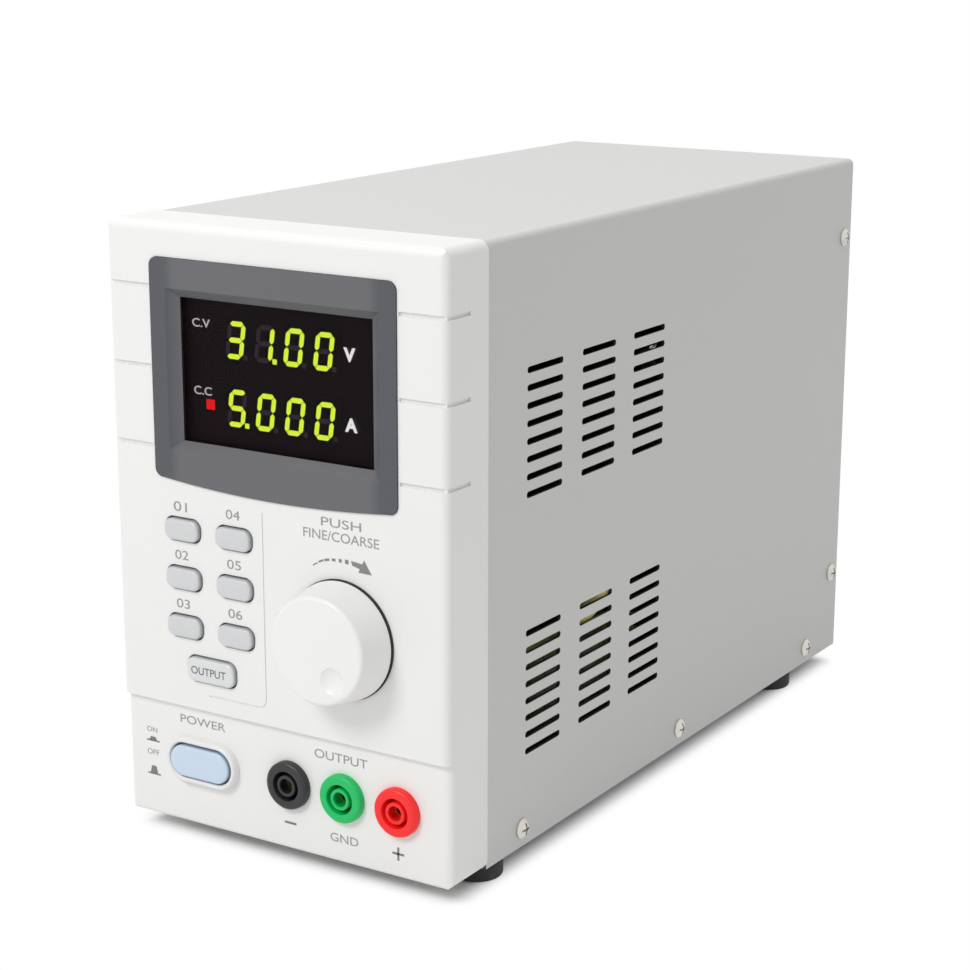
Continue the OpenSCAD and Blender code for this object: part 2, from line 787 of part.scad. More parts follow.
module control_board() {
  color("#1d6b3a") in_case() difference() {
    slab(control_board_y, control_board_y + control_board_t)
      translate([-control_board_w / 2, control_board_z0])
        square([control_board_w, control_board_z1 - control_board_z0]);
    for (side = [-1, 1], z = board_post_zs) translate([side * board_post_x, 0, z])
      bar_y(screw_r + clearance_gap, control_board_y - cut, control_board_y + control_board_t + cut);
  }
}

// Mains push button

function collar_neck_w() = power_w + 2 * button_gap + 2.2;
function collar_neck_h() = power_h + 2 * button_gap + 2.2;

module power_collar() {
  color("#f4f4f2") in_case() translate([power_x, 0, power_z]) difference() {
    union() {
      slab(-collar_proud, 0)
        stadium(power_w + 2 * (button_gap + collar_rim), power_h + 2 * (button_gap + collar_rim));
      slab(-0.1, front_wall + 1.5) stadium(collar_neck_w(), collar_neck_h());
    }
    slab(-collar_proud - cut, front_wall + 1.5 + cut)
      stadium(power_w + 2 * button_gap, power_h + 2 * button_gap);
  }
}

module power_button() {
  face_y = -collar_proud - power_proud;
  color("#c9d9ee") in_case() translate([power_x, 0, power_z]) {
    slab(face_y, face_y + 6) stadium(power_w, power_h);
    bar_y(2.2, face_y + 5.5, plate_back_y + power_travel + 2.5);
  }
}

module power_switch() {
  color("#3a3a3c") in_case() translate([power_x, 0, power_z]) difference() {
    union() {
      slab(plate_back_y, plate_back_y + power_switch_len)
        square([power_switch_w, power_switch_h], center = true);
      slab(plate_back_y, plate_back_y + 2) square([2 * power_switch_ear + 7, 9], center = true);
    }
    bar_y(2.2 + running_gap, plate_back_y - cut, plate_back_y + power_travel + 3.5);
    for (side = [-1, 1]) translate([side * power_switch_ear, 0, 0])
      bar_y(screw_r + thread_gap, plate_back_y - cut, plate_back_y + 2 + cut);
  }
}

// Control knob and encoder

module control_knob() {
  base_y = -upper_step - knob_gap;
  depth = base_y - knob_face_y;
  round_r = 1.2;
  slope = (knob_r - knob_face_r) / depth;
  face_edge = knob_face_r - round_r * 0.6;
  color("#f2f2f0") in_case() translate([knob_x, 0, knob_z]) difference() {
    translate([0, base_y, 0]) rotate([90, 0, 0]) difference() {
      rotate_extrude($fn = 128) union() {
        polygon([[0, 0], [knob_r, 0], [knob_r, 0.6], [knob_face_r + slope * round_r, depth - round_r],
                 [face_edge - round_r * 0.4, depth], [0, depth]]);
        translate([knob_face_r + slope * round_r - round_r, depth - round_r]) circle(round_r, $fn = 48);
      }
      translate([0, 0, -cut]) cylinder(r = bushing_r + 3.6, h = cut + 4.2);
      cylinder(r = shaft_r + 0.02, h = depth - 2);
      translate([knob_face_r * 0.35, -knob_face_r * 0.49, depth + 4.7]) sphere(r = 6, $fn = 96);
    }
  }
}

module encoder_shaft() {
  color("#c8c8c6") in_case() translate([knob_x, 0, knob_z]) {
    bar_y(shaft_r, knob_face_y + 2, shaft_back_y);
    bar_y(shaft_collar_r, encoder_y + 1.2 + shaft_collar_gap,
      encoder_y + 1.2 + shaft_collar_gap + shaft_collar_t);
  }
}

module encoder_plunger() {
  color("#8a8a88") in_case() translate([knob_x, 0, knob_z])
    bar_y(plunger_r, shaft_back_y, shaft_back_y + 1.3);
}

module encoder_body() {
  color("#8f9294") in_case() translate([knob_x, 0, knob_z]) difference() {
    union() {
      slab(encoder_y, control_board_y) square(encoder_w, center = true);
      bar_y(bushing_r, bushing_end_y, encoder_y + 0.5);
    }
    bar_y(shaft_r + running_gap, bushing_end_y - cut, shaft_back_y);
    bar_y(shaft_collar_r + 0.4, encoder_y + 1.2,
      encoder_y + 1.2 + 2 * shaft_collar_gap + shaft_collar_t + knob_travel);
    bar_y(plunger_r + running_gap, shaft_back_y - cut, shaft_back_y + 1.3 + knob_travel + 0.2);
    bar_y(shaft_r + running_gap, shaft_back_y - cut, shaft_back_y + knob_travel + 0.3);
  }
}

module encoder_nut() {
  color("#b9babc") in_case() translate([knob_x, 0, knob_z]) difference() {
    slab(-upper_step - nut_t, -upper_step) circle(bushing_r + 2.6, $fn = 6);
    bar_y(bushing_r + thread_gap, -upper_step - nut_t - cut, -upper_step + cut);
  }
}

// Safety sockets

module socket(i, tint) {
  color(tint) in_case() translate([socket_xs[i], 0, socket_z]) difference() {
    union() {
      bar_y(socket_r, -socket_proud, 0);
      bar_y(barrel_r, -0.1, barrel_len);
    }
    difference() {
      bar_y(socket_groove_r, -socket_proud - cut, 8);
      bar_y(post_r, -socket_proud - 2 * cut, 9);
    }
    bar_y(contact_r + 0.02, -socket_proud - cut, barrel_len + cut);
  }
}

module socket_contacts() {
  start_y = contact_recess - socket_proud;
  color("#d8b45a") in_case() for (x = socket_xs) translate([x, 0, socket_z]) difference() {
    union() {
      bar_y(contact_r, start_y, barrel_len + 0.5);
      bar_y(contact_r + 1.2, barrel_len, barrel_len + 2);
      bar_y(1.5, barrel_len + 1, contact_end_y);
    }
    bar_y(plug_r, start_y - cut, start_y + plug_len);
  }
}

module socket_nuts() {
  color("#b9babc") in_case() for (x = socket_xs) translate([x, 0, socket_z]) difference() {
    slab(front_wall, front_wall + socket_nut_t) circle(barrel_r + 2.3, $fn = 6);
    bar_y(barrel_r + thread_gap, front_wall - cut, front_wall + socket_nut_t + cut);
  }
}

// Steel case

// The outline of a panel that closes the cover, round at its top corners
module panel_outline() {
  difference() {
    translate([-inner_w / 2, sheet_t]) square([inner_w, inner_top_z - sheet_t]);
    for (flip = [0, 1]) mirror([flip, 0]) translate([-inner_w / 2, inner_top_z])
      mirror([0, 1]) corner_waste(cover_bend_r);
  }
}

module front_plate() {
  color("#b4b6b8") in_case() difference() {
    union() {
      slab(bezel_depth, plate_back_y) panel_outline();
      box([-panel_screw_x - 8, bezel_depth, sheet_t],
        [panel_screw_x + 8, plate_back_y + flange_len, 2 * sheet_t]);
    }
    for (p = boss_places) translate([p[0], 0, p[1]])
      bar_y(screw_r + clearance_gap, bezel_depth - cut, plate_back_y + cut);
    for (x = socket_xs) translate([x, 0, socket_z])
      bar_y(barrel_r + 1.2, bezel_depth - cut, plate_back_y + cut);
    translate([power_x, 0, power_z]) bar_y(3.2, bezel_depth - cut, plate_back_y + cut);
    for (side = [-1, 1]) translate([power_x + side * power_switch_ear, 0, power_z])
      bar_y(screw_r + clearance_gap, bezel_depth - cut, plate_back_y + cut);
    for (side = [-1, 1]) translate([side * panel_screw_x, plate_back_y + flange_len / 2, 0])
      cylinder(r = screw_r + thread_gap, h = 3 * sheet_t);
    slab(bezel_depth - cut, plate_back_y + cut) translate([0, ribbon_route[0][1]])
      square([ribbon_w + 8, 10], center = true);
  }
}

module cover_profile(gap) {
  w = cover_w - 2 * gap;
  h = cover_h - gap;
  r = max(cover_bend_r - gap, 0.5);
  translate([-w / 2, 0]) square([w, h - r]);
  translate([-w / 2 + r, 0]) square([w - 2 * r, h]);
  for (side = [-1, 1]) translate([side * (w / 2 - r), h - r]) circle(r);
}

module top_cover() {
  color("#aaaba7") in_case() difference() {
    slab(bezel_depth, body_depth) cover_profile(0);
    slab(bezel_depth - cut, body_depth + cut) {
      cover_profile(sheet_t);
      translate([-cover_w / 2 + sheet_t, -cut]) square([cover_w - 2 * sheet_t, 2 * cut]);
    }
    for (side = [-1, 1]) translate([side * (cover_w / 2 - sheet_t / 2), 0, 0]) {
      side_slab(-sheet_t, sheet_t)
        for (column = [0:slot_columns - 1], row = [0:slot_rows - 1], base = [low_slot_z, high_slot_z])
          translate([slot_y + column * slot_pitch_y + slot_l / 2, base + row * slot_pitch_z])
            stadium(slot_l, slot_h);
      for (p = side_screw_places()) translate([0, p[0], p[1]]) rotate([0, 90, 0])
        cylinder(r = screw_r + clearance_gap, h = 3 * sheet_t, center = true);
    }
  }
}

function side_screw_places() = concat([for (y = side_screw_ys) [y, side_screw_z]],
                                      [for (z = [rear_screw_low_z, rear_screw_high_z]) [rear_screw_y, z]]);

module base_chassis() {
  color("#b4b6b8") in_case() difference() {
    union() {
      box([-inner_w / 2, bezel_depth, 0], [inner_w / 2, body_depth, sheet_t]);
      for (side = [-1, 1]) {
        x = side * (inner_w / 2 - sheet_t / 2);
        box([x - sheet_t / 2, plate_back_y + flange_len + 0.5, 0],
            [x + sheet_t / 2, rear_inner_y - flange_len - 1, chassis_flange_h]);
      }
    }
    for (side = [-1, 1], y = side_screw_ys) translate([side * inner_w / 2, y, side_screw_z])
      rotate([0, 90, 0])
      cylinder(r = screw_r + thread_gap, h = 4 * sheet_t, center = true);
    for (side = [-1, 1], y = foot_ys) translate([side * (case_w / 2 - foot_inset), y, -cut])
      cylinder(r = screw_r + thread_gap, h = sheet_t + 2 * cut);
    for (side = [-1, 1], y = [plate_back_y + flange_len / 2, rear_inner_y - flange_len / 2])
      translate([side * panel_screw_x, y, -cut]) cylinder(r = screw_r + clearance_gap, h = sheet_t + 2 * cut);
    for (p = standoff_places) translate([p[0], p[1], -cut])
      cylinder(r = screw_r + clearance_gap, h = sheet_t + 2 * cut);
    translate([0, toroid_y, -cut]) cylinder(r = 3 + fit_gap, h = sheet_t + 2 * cut);
  }
}

module rear_panel() {
  side_x = inner_w / 2 - sheet_t;
  color("#aaaba7") in_case() difference() {
    union() {
      slab(rear_inner_y, body_depth) panel_outline();
      for (side = [-1, 1]) {
        x = side * (side_x + sheet_t / 2);
        box([x - sheet_t / 2, rear_inner_y - flange_len, chassis_flange_h + 2],
            [x + sheet_t / 2, rear_inner_y + 0.1, inner_top_z - 4]);
      }
      box([-side_x + 4, rear_inner_y - flange_len, inner_top_z - sheet_t],
        [side_x - 4, rear_inner_y + 0.1, inner_top_z]);
      box([-panel_screw_x - 8, rear_inner_y - flange_len, sheet_t],
        [panel_screw_x + 8, rear_inner_y + 0.1, 2 * sheet_t]);
    }
    for (side = [-1, 1], z = [rear_screw_low_z, rear_screw_high_z])
      translate([side * inner_w / 2, rear_screw_y, z])
      rotate([0, 90, 0]) cylinder(r = screw_r + thread_gap, h = 4 * sheet_t, center = true);
    for (side = [-1, 1]) translate([side * panel_screw_x, rear_inner_y - flange_len / 2, 0])
      cylinder(r = screw_r + thread_gap, h = 3 * sheet_t);
    translate([0, 0, fan_z]) bar_y(fan_bore_r, rear_inner_y - cut, body_depth + cut);
    for (p = fan_screw_places) translate([p[0], 0, p[1]])
      bar_y(screw_r + clearance_gap, rear_inner_y - cut, body_depth + cut);
    slab(rear_inner_y - cut, body_depth + cut) {
      translate([inlet_x, inlet_z])
        square([inlet_body_w + 2 * fit_gap, inlet_body_h + 2 * fit_gap], center = true);
      translate([selector_x, inlet_z]) square([channel_w, channel_h], center = true);
    }
    for (side = [-1, 1]) {
      translate([inlet_x + side * inlet_ear, 0, inlet_z])
        bar_y(screw_r + thread_gap, rear_inner_y - cut, body_depth + cut);
      translate([selector_x + side * selector_ear, 0, inlet_z])
        bar_y(screw_r + clearance_gap, rear_inner_y - cut, body_depth + cut);
    }
  }
}

module foot(side, i) {
  edge_r = 1.2;
  color("#232325") in_case() translate([side * (case_w / 2 - foot_inset), foot_ys[i], -foot_h]) difference() {
    rotate_extrude() difference() {
      union() {
        translate([0, edge_r]) square([foot_r, foot_h - edge_r]);
        square([foot_r - edge_r, foot_h]);
        translate([foot_r - edge_r, edge_r]) circle(edge_r, $fn = 32);
      }
      translate([-2 * foot_r, -cut]) square([2 * foot_r, foot_h + 2 * cut]);
    }
    translate([0, 0, -cut]) cylinder(r = screw_r + clearance_gap, h = foot_h + 2 * cut);
    translate([0, 0, -cut]) cylinder(r = screw_head_r + 0.5, h = screw_head_h + 0.8 + cut);
  }
}

// Fasteners

module screw_up(len) { mirror([0, 0, 1]) pan_screw(len); }

module chassis_screws() {
  head_z = -foot_h + screw_head_h + 0.8;
  color("#c9cacc") in_case() {
    for (side = [-1, 1], y = foot_ys) translate([side * (case_w / 2 - foot_inset), y, head_z])
      screw_up(sheet_t - head_z + 1);
    for (side = [-1, 1], y = [plate_back_y + flange_len / 2, rear_inner_y - flange_len / 2])
      translate([side * panel_screw_x, y, 0]) screw_up(2 * sheet_t + 2);
    for (p = standoff_places) {
      translate([p[0], p[1], 0]) screw_up(sheet_t + 2.8);
      translate([p[0], p[1], board_top_z]) pan_screw(board_t + 2.8);
    }
    for (side = [-1, 1]) translate([power_x + side * power_switch_ear, bezel_depth, power_z])
      screw_front(sheet_t + 4);
  }
}

module bezel_screws() {
  color("#c9cacc") in_case() {
    for (p = boss_places) translate([p[0], plate_back_y, p[1]]) screw_back(sheet_t + 7);
    for (side = [-1, 1], z = board_post_zs)
      translate([side * board_post_x, control_board_y + control_board_t, z]) screw_back(control_board_t + 4);
  }
}

module cover_screws() {
  color("#c9c4b8") in_case() for (side = [0, 1], p = side_screw_places()) mirror([side, 0, 0])
    translate([cover_w / 2, p[0], p[1]]) rotate([0, 90, 0]) pan_screw(2 * sheet_t + cover_gap + 1.5);
}

module rear_screws() {
  guard_y = body_depth + guard_standoff + guard_wire_d;
  color("#c9cacc") in_case() {
    for (p = fan_screw_places) translate([p[0], guard_y, p[1]]) screw_back(guard_y - fan_y + 1);
    for (side = [-1, 1]) {
      translate([inlet_x + side * inlet_ear, body_depth + inlet_flange_t, inlet_z])
        screw_back(inlet_flange_t + sheet_t + 3);
      translate([selector_x + side * selector_ear, body_depth, inlet_z]) screw_back(sheet_t + 4);
    }
  }
}

// Rear fittings

module inlet_outline(gap) {
  w = cavity_w - 2 * gap;
  h = cavity_h - 2 * gap;
  slant = 5;
  polygon([[-w / 2, -h / 2], [w / 2, -h / 2], [w / 2, h / 2 - slant], [w / 2 - slant, h / 2],
           [-w / 2 + slant, h / 2], [-w / 2, h / 2 - slant]]);
}

// Blades: earth above, line and neutral below
inlet_pins_at = [[0, 2.2], [-7, -1.8], [7, -1.8]];

module inlet_body() {
  back_y = body_depth - inlet_body_d;
  color("#26262a") in_case() translate([inlet_x, 0, 0]) difference() {
    union() {
      slab(body_depth, body_depth + inlet_flange_t) translate([0, inlet_z]) {
        round_rect(inlet_body_w + 3, inlet_body_h + 3, 2);
        round_rect(inlet_w, 14, 6);
      }
      slab(back_y, body_depth + 0.1) translate([0, inlet_z])
        square([inlet_body_w, inlet_body_h], center = true);
    }
    slab(body_depth + inlet_flange_t - cavity_d, body_depth + inlet_flange_t + cut) translate([0, cavity_z])
      inlet_outline(0);
    slab(body_depth + inlet_flange_t - drawer_d - drawer_gap, body_depth + inlet_flange_t + cut)
      translate([0, drawer_z]) square([drawer_w + 2 * drawer_gap, drawer_h + 2 * drawer_gap], center = true);
    for (p = inlet_pins_at) translate([p[0], 0, cavity_z + p[1]])
      slab(back_y - cut, body_depth) square([2, 4], center = true);
    for (side = [-1, 1]) translate([side * inlet_ear, 0, inlet_z])
      bar_y(screw_r + clearance_gap, body_depth - cut, body_depth + inlet_flange_t + cut);
  }
}

module inlet_pins() {
  color("#cfd0d2") in_case() for (p = inlet_pins_at) translate([inlet_x + p[0], 0, cavity_z + p[1]])
    slab(body_depth - inlet_body_d - 4.3, body_depth + inlet_flange_t - 2.5) square([2, 4], center = true);
}

module fuse_drawer() {
  front = body_depth + inlet_flange_t;
  color("#2e2e33") in_case() translate([inlet_x, 0, drawer_z]) difference() {
    union() {
      slab(front - drawer_d, front + 0.5) square([drawer_w, drawer_h], center = true);
      slab(front + drawer_gap, front + 1.6) square([drawer_w + 2, drawer_h + 1], center = true);
    }
    translate([-fuse_l / 2 - 0.3, front - 11, 0]) rotate([0, 90, 0])
      cylinder(r = fuse_r + 0.05, h = fuse_l + 0.6);
    box([-fuse_l / 2 - 0.3, front - 11 - fuse_r - 0.05, 0],
      [fuse_l / 2 + 0.3, front - 11 + fuse_r + 0.05, drawer_h]);
  }
}

module fuse() {
  color("#d9dcdc") in_case() translate([inlet_x - fuse_l / 2, body_depth + inlet_flange_t - 11, drawer_z])
    rotate([0, 90, 0]) cylinder(r = fuse_r, h = fuse_l);
}

module selector_body() {
  color("#2b2b2e") in_case() translate([selector_x, 0, inlet_z]) difference() {
    union() {
      slab(rear_inner_y - selector_body_d, rear_inner_y)
        square([selector_body_w, selector_body_h], center = true);
      slab(rear_inner_y - 1.2, rear_inner_y) round_rect(2 * selector_ear + 7, 7.5, 3);
    }
    slab(rear_inner_y - 4.5, rear_inner_y + cut) square([channel_w, channel_h], center = true);
    for (side = [-1, 1]) translate([side * selector_ear, 0, 0])
      bar_y(screw_r + thread_gap, rear_inner_y - 1.2 - cut, rear_inner_y + cut);
  }
}

module selector_slider() {
  y0 = rear_inner_y - 4.5 + drawer_gap;
  y1 = body_depth - 0.4;
  color("#c8261e") in_case() translate([selector_x - selector_travel / 2, 0, inlet_z]) difference() {
    slab(y0, y1) square([slider_w, slider_h], center = true);
    box([-0.6, y1 - 1.6, -slider_h], [0.6, y1 + cut, slider_h]);
  }
}

// Fan

module fan_frame() {
  hub_y = fan_y + strut_t;
  color("#28282b") in_case() translate([0, 0, fan_z]) difference() {
    union() {
      difference() {
        slab(fan_y, rear_inner_y) round_rect(fan_w, fan_w, 4);
        bar_y(fan_bore_r, fan_y - cut, rear_inner_y + cut);
      }
      intersection() {
        union() {
          for (turn = [45, 135]) rotate([0, turn, 0]) box([-fan_w, fan_y, -1.6], [fan_w, hub_y, 1.6]);
          bar_y(hub_r, fan_y, hub_y);
        }
        slab(fan_y, hub_y) square(fan_w - 2, center = true);
      }
    }
    for (sx = [-1, 1], sz = [-1, 1]) translate([sx * fan_hole, 0, sz * fan_hole])
      bar_y(screw_r + thread_gap, fan_y - cut, rear_inner_y + cut);
    bar_y(1.5 + running_gap, fan_y + 0.6, hub_y + cut);
  }
}

module fan_rotor() {
  y0 = fan_y + strut_t + 0.5;
  y1 = rear_inner_y - rotor_back_gap;
  tip_r = fan_bore_r - rotor_gap;
  color("#303034") in_case() translate([0, 0, fan_z]) {
    bar_y(hub_r, y0, y1);
    bar_y(1.5, fan_y + 0.9, y0 + 0.5);
    intersection() {
      bar_y(tip_r, y0, y1);
      for (i = [0:blade_count - 1]) rotate([0, i * 360 / blade_count, 0])
        translate([0, (y0 + y1) / 2, hub_r - 1]) rotate([0, 0, blade_tilt])
          translate([-blade_chord / 2, -0.6, 0]) cube([blade_chord, 1.2, tip_r]);
    }
  }
}

module fan_guard() {
  wire_r = guard_wire_d / 2;
  plane_y = body_depth + guard_standoff + wire_r;
  color("#c4c5c8") in_case() translate([0, plane_y, fan_z]) rotate([90, 0, 0]) {
    for (r = [8, 14.5, 21, 27.5]) rotate_extrude() translate([r, 0]) circle(wire_r, $fn = 24);
    for (sx = [-1, 1], sz = [-1, 1]) difference() {
      union() {
        translate([0, 0, 0.5]) rotate([0, 0, atan2(sz, sx)]) rotate([0, 90, 0])
          translate([0, 0, 8]) cylinder(r = wire_r - 0.15, h = fan_hole * sqrt(2) - 11.3, $fn = 24);
        translate([sx * fan_hole, sz * fan_hole, -wire_r])
          cylinder(r = screw_head_r + 0.7, h = guard_wire_d + guard_standoff);
      }
      translate([sx * fan_hole, sz * fan_hole, -5]) cylinder(r = screw_r + clearance_gap, h = 10);
    }
  }
}

// Transformer

module transformer() {
  color("#d7a52c") in_case() translate([0, toroid_y, toroid_z]) rotate_extrude($fn = 96)
    translate([(toroid_r + toroid_hole_r) / 2, toroid_h / 2])
      round_rect(toroid_r - toroid_hole_r, toroid_h, toroid_edge_r);
}

module transformer_pads() {
  color("#2a2a2c") in_case() translate([0, toroid_y, 0]) for (z = [sheet_t, toroid_z + toroid_h])
    translate([0, 0, z]) difference() {
      cylinder(r = pad_r, h = pad_t);
      translate([0, 0, -cut]) cylinder(r = 5, h = pad_t + 2 * cut);
    }
}

module transformer_bolt() {
  washer_z = toroid_z + toroid_h + pad_t;
  color("#b9babc") in_case() translate([0, toroid_y, 0]) {
    difference() {
      translate([0, 0, washer_z]) cylinder(r = pad_r - 2, h = 1.6);
      translate([0, 0, washer_z - cut]) cylinder(r = 3 + fit_gap, h = 1.6 + 2 * cut);
    }
    translate([0, 0, washer_z + 1.6]) cylinder(r = 5.6, h = 4, $fn = 6);
    translate([0, 0, -4]) cylinder(r = 3, h = washer_z + 5.7);
    difference() {
      translate([0, 0, -3.6]) cylinder(r = 5.6, h = 3.6, $fn = 6);
      translate([0, 0, -4]) cylinder(r = 3 + thread_gap, h = 5);
    }
  }
}

// Main board and what it carries

module main_board() {
  color("#1d6b3a") in_case() difference() {
    box([-board_w / 2, board_y, board_z], [board_w / 2, board_y + board_d, board_top_z]);
    for (p = standoff_places) translate([p[0], p[1], board_z - cut])
      cylinder(r = screw_r + clearance_gap, h = board_t + 2 * cut);
  }
}

module board_standoffs() {
  color("#cdb46a") in_case() for (p = standoff_places) translate([p[0], p[1], sheet_t]) difference() {
    cylinder(r = 3.4, h = standoff_h, $fn = 6);
    translate([0, 0, -cut]) cylinder(r = screw_r + thread_gap, h = standoff_h + 2 * cut);
  }
}

module heat_sink() {
  step = (heat_sink_w - fin_t) / (fin_count - 1);
  color("#c2c4c6") in_case() translate([-heat_sink_w / 2, heat_sink_y, board_top_z]) {
    cube([heat_sink_w, heat_sink_base, heat_sink_h]);
    for (i = [0:fin_count - 1]) translate([i * step, heat_sink_base - 0.1, 0])
      cube([fin_t, fin_d + 0.1, heat_sink_h]);
  }
}

// Four power transistors in a row and a rectifier above them, flat on the heat sink
module power_semiconductors() {
  color("#1f1f21") in_case() {
    for (i = [0:3]) translate([(i - 1.5) * semi_pitch - semi_w / 2, heat_sink_y - semi_t, semi_z])
      cube([semi_w, semi_t, semi_h]);
    translate([-rectifier_w / 2, heat_sink_y - rectifier_t, semi_z + semi_h + rectifier_gap])
      cube([rectifier_w, rectifier_t, rectifier_h]);
  }
}

module filter_capacitors() {
  color("#34363c") in_case() for (i = [-1:1])
    translate([i * capacitor_pitch + capacitor_x, capacitor_y, board_top_z]) {
    cylinder(r = capacitor_r, h = capacitor_h - 1);
    cylinder(r = capacitor_r - 1, h = capacitor_h);
  }
}

// Cable and wires

function unit(v) = v / norm(v);

// A route with its corners cut, the ends kept
function smooth(route) = concat([route[0]],
  [for (i = [0:len(route) - 2], part = [0.28, 0.72])
    if (!(i == 0 && part < 0.5) && !(i == len(route) - 2 && part > 0.5))
      route[i] * (1 - part) + route[i + 1] * part],
  [route[len(route) - 1]]);

// Direction of a route at a point
function heading(route, i) = unit(route[min(i + 1, len(route) - 1)] - route[max(i - 1, 0)]);

// The part of a vector square to a direction
function square_to(v, t) = unit(v - (v * t) * t);

// Side vectors along a route, carried on from point to point without twist
function side_vectors(route) =
  [for (i = 0, u = square_to([0.6, 0.5, 0.4], heading(route, 0)); i < len(route);
        i = i + 1, u = square_to(u, heading(route, min(i, len(route) - 1)))) u];

// A round wire along a route of points
module wire(route, r) {
  sides = 8;
  n = len(route);
  across = side_vectors(route);
  rings = [for (i = [0:n - 1], k = [0:sides - 1])
    let (u = across[i], v = cross(heading(route, i), u), turn = k * 360 / sides)
    route[i] + r * (cos(turn) * u + sin(turn) * v)];
  first = [[for (k = [sides - 1:-1:0]) k]];
  last = [[for (k = [0:sides - 1]) (n - 1) * sides + k]];
  skin = [for (i = [0:n - 2], k = [0:sides - 1])
    let (a = i * sides + k, b = i * sides + (k + 1) % sides)
    for (corner = [[a, b, b + sides], [a, b + sides, a + sides]]) corner];
  polyhedron(points = rings, faces = concat(first, last, skin));
}

module mains_wires() {
  color("#7a4a2a") in_case() for (route = mains_routes) wire(smooth(route), wire_d / 2);
}

module output_wires() {
  color("#b3252b") in_case() for (route = output_routes) wire(smooth(route), wire_d / 2);
}

function side_point(route, i, half) =
  let (t = heading(route, i))
  route[i] + half * [-t[1], t[0]];

module ribbon_cable() {
  last = len(ribbon_route) - 1;
  color("#9aa0a8") in_case() side_slab(-ribbon_w / 2, ribbon_w / 2) polygon(concat(
    [for (i = [0:last]) side_point(ribbon_route, i, ribbon_t / 2)],
    [for (i = [last:-1:0]) side_point(ribbon_route, i, -ribbon_t / 2)]));
}

front_bezel();
display_surround();
display_window();
front_plate();
top_cover();
base_chassis();
rear_panel();
foot(-1, 0);  // foot_front_left
foot(1, 0);  // foot_front_right
foot(-1, 1);  // foot_rear_left
foot(1, 1);  // foot_rear_right
chassis_screws();
bezel_screws();
cover_screws();
rear_screws();
key(0);  // key_left_top
key(1);  // key_left_middle
key(2);  // key_left_bottom
key(3);  // key_right_top
key(4);  // key_right_middle
key(5);  // key_right_bottom
output_key();
key_switches();
power_button();
power_collar();
power_switch();
control_knob();
encoder_shaft();
encoder_plunger();
encoder_body();
encoder_nut();
control_board();
display_modules();
lit_segments();
status_lamps();
socket(0, "#3c3a3d");  // socket_negative
socket(1, "#00c46a");  // socket_ground
socket(2, "#ff5a55");  // socket_positive
socket_contacts();
socket_nuts();
inlet_body();
inlet_pins();
fuse_drawer();
fuse();
selector_body();
selector_slider();
fan_frame();
fan_rotor();
fan_guard();
transformer();
transformer_pads();
transformer_bolt();
main_board();
board_standoffs();
heat_sink();
power_semiconductors();
filter_capacitors();
ribbon_cable();
mains_wires();
output_wires();
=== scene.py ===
"""Looks of a laboratory power supply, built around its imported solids.

Sizes are in millimetres in the frame of the case unless a name or docstring says otherwise: x to
the right seen from the front, y back from the face of the lower front section, z up from the
underside of the case. The at() function turns them into the metres of the shared frame.
"""

import logging
import math
from dataclasses import dataclass
from enum import Enum
from typing import ClassVar, Mapping, Sequence

import bmesh
import bpy
from mathutils import Matrix, Vector


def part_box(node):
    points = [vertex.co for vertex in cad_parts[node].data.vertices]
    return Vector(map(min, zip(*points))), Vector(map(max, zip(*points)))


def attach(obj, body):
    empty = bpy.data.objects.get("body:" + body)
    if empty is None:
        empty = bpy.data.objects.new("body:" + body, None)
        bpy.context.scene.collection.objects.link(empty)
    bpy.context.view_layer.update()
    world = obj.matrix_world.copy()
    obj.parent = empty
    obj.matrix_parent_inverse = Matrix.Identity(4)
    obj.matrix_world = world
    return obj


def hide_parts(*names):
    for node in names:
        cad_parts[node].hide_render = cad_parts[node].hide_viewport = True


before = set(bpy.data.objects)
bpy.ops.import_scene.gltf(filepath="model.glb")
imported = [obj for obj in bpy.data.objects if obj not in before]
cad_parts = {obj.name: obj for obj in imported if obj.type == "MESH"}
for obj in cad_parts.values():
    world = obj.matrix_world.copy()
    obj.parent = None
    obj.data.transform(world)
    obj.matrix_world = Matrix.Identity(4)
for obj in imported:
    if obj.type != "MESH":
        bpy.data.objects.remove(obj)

LOG = logging.getLogger("power_supply")
MM = 0.001
UPPER_STEP = 1.6
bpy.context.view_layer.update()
FRONT_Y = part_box("front_bezel")[0].y + UPPER_STEP * MM
CASE_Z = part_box("front_bezel")[0].z
ORIGIN = (0.0, FRONT_Y, CASE_Z)
WELD = 1e-7
SHARP = math.radians(32)
INK_THICK = 0.05
INK_SUNK = 0.02
FINE_STEPS = 96
ROD_STEPS = 24
TUBE_SIDES = 20
WHITE = (1.0, 1.0, 1.0)

Point = tuple[float, float]
Triple = tuple[float, float, float]
Quad = tuple[float, float, float, float]
Colour = Triple
Span = tuple[Triple, Triple]
Word = tuple[str, Point, Point]


class Body(Enum):
    """The bodies that new pieces ride on."""

    CASE = "case"
    BUTTON = "mains_button"
    FAN = "fan_wheel"
    OUTPUT_KEY = "output_key_body"
    KEY_LEFT_BOTTOM = "key_left_bottom_body"
    KEY_LEFT_MIDDLE = "key_left_middle_body"
    KEY_LEFT_TOP = "key_left_top_body"
    KEY_RIGHT_BOTTOM = "key_right_bottom_body"
    KEY_RIGHT_MIDDLE = "key_right_middle_body"
    KEY_RIGHT_TOP = "key_right_top_body"


class Slot(Enum):
    """Names of the model's material slots, passed along with new pieces."""

    PRINT = "surround_plastic"
    WHITE = "white_plastic"
    KEY = "key_plastic"
    BUTTON = "button_plastic"
    DARK = "dark_plastic"
    STEEL = "plated_steel"
    BLACK = "socket_black"
    GREEN = "socket_green"
    RED = "socket_red"
    WINDOW = "window_plastic"
    BRASS = "contact_brass"


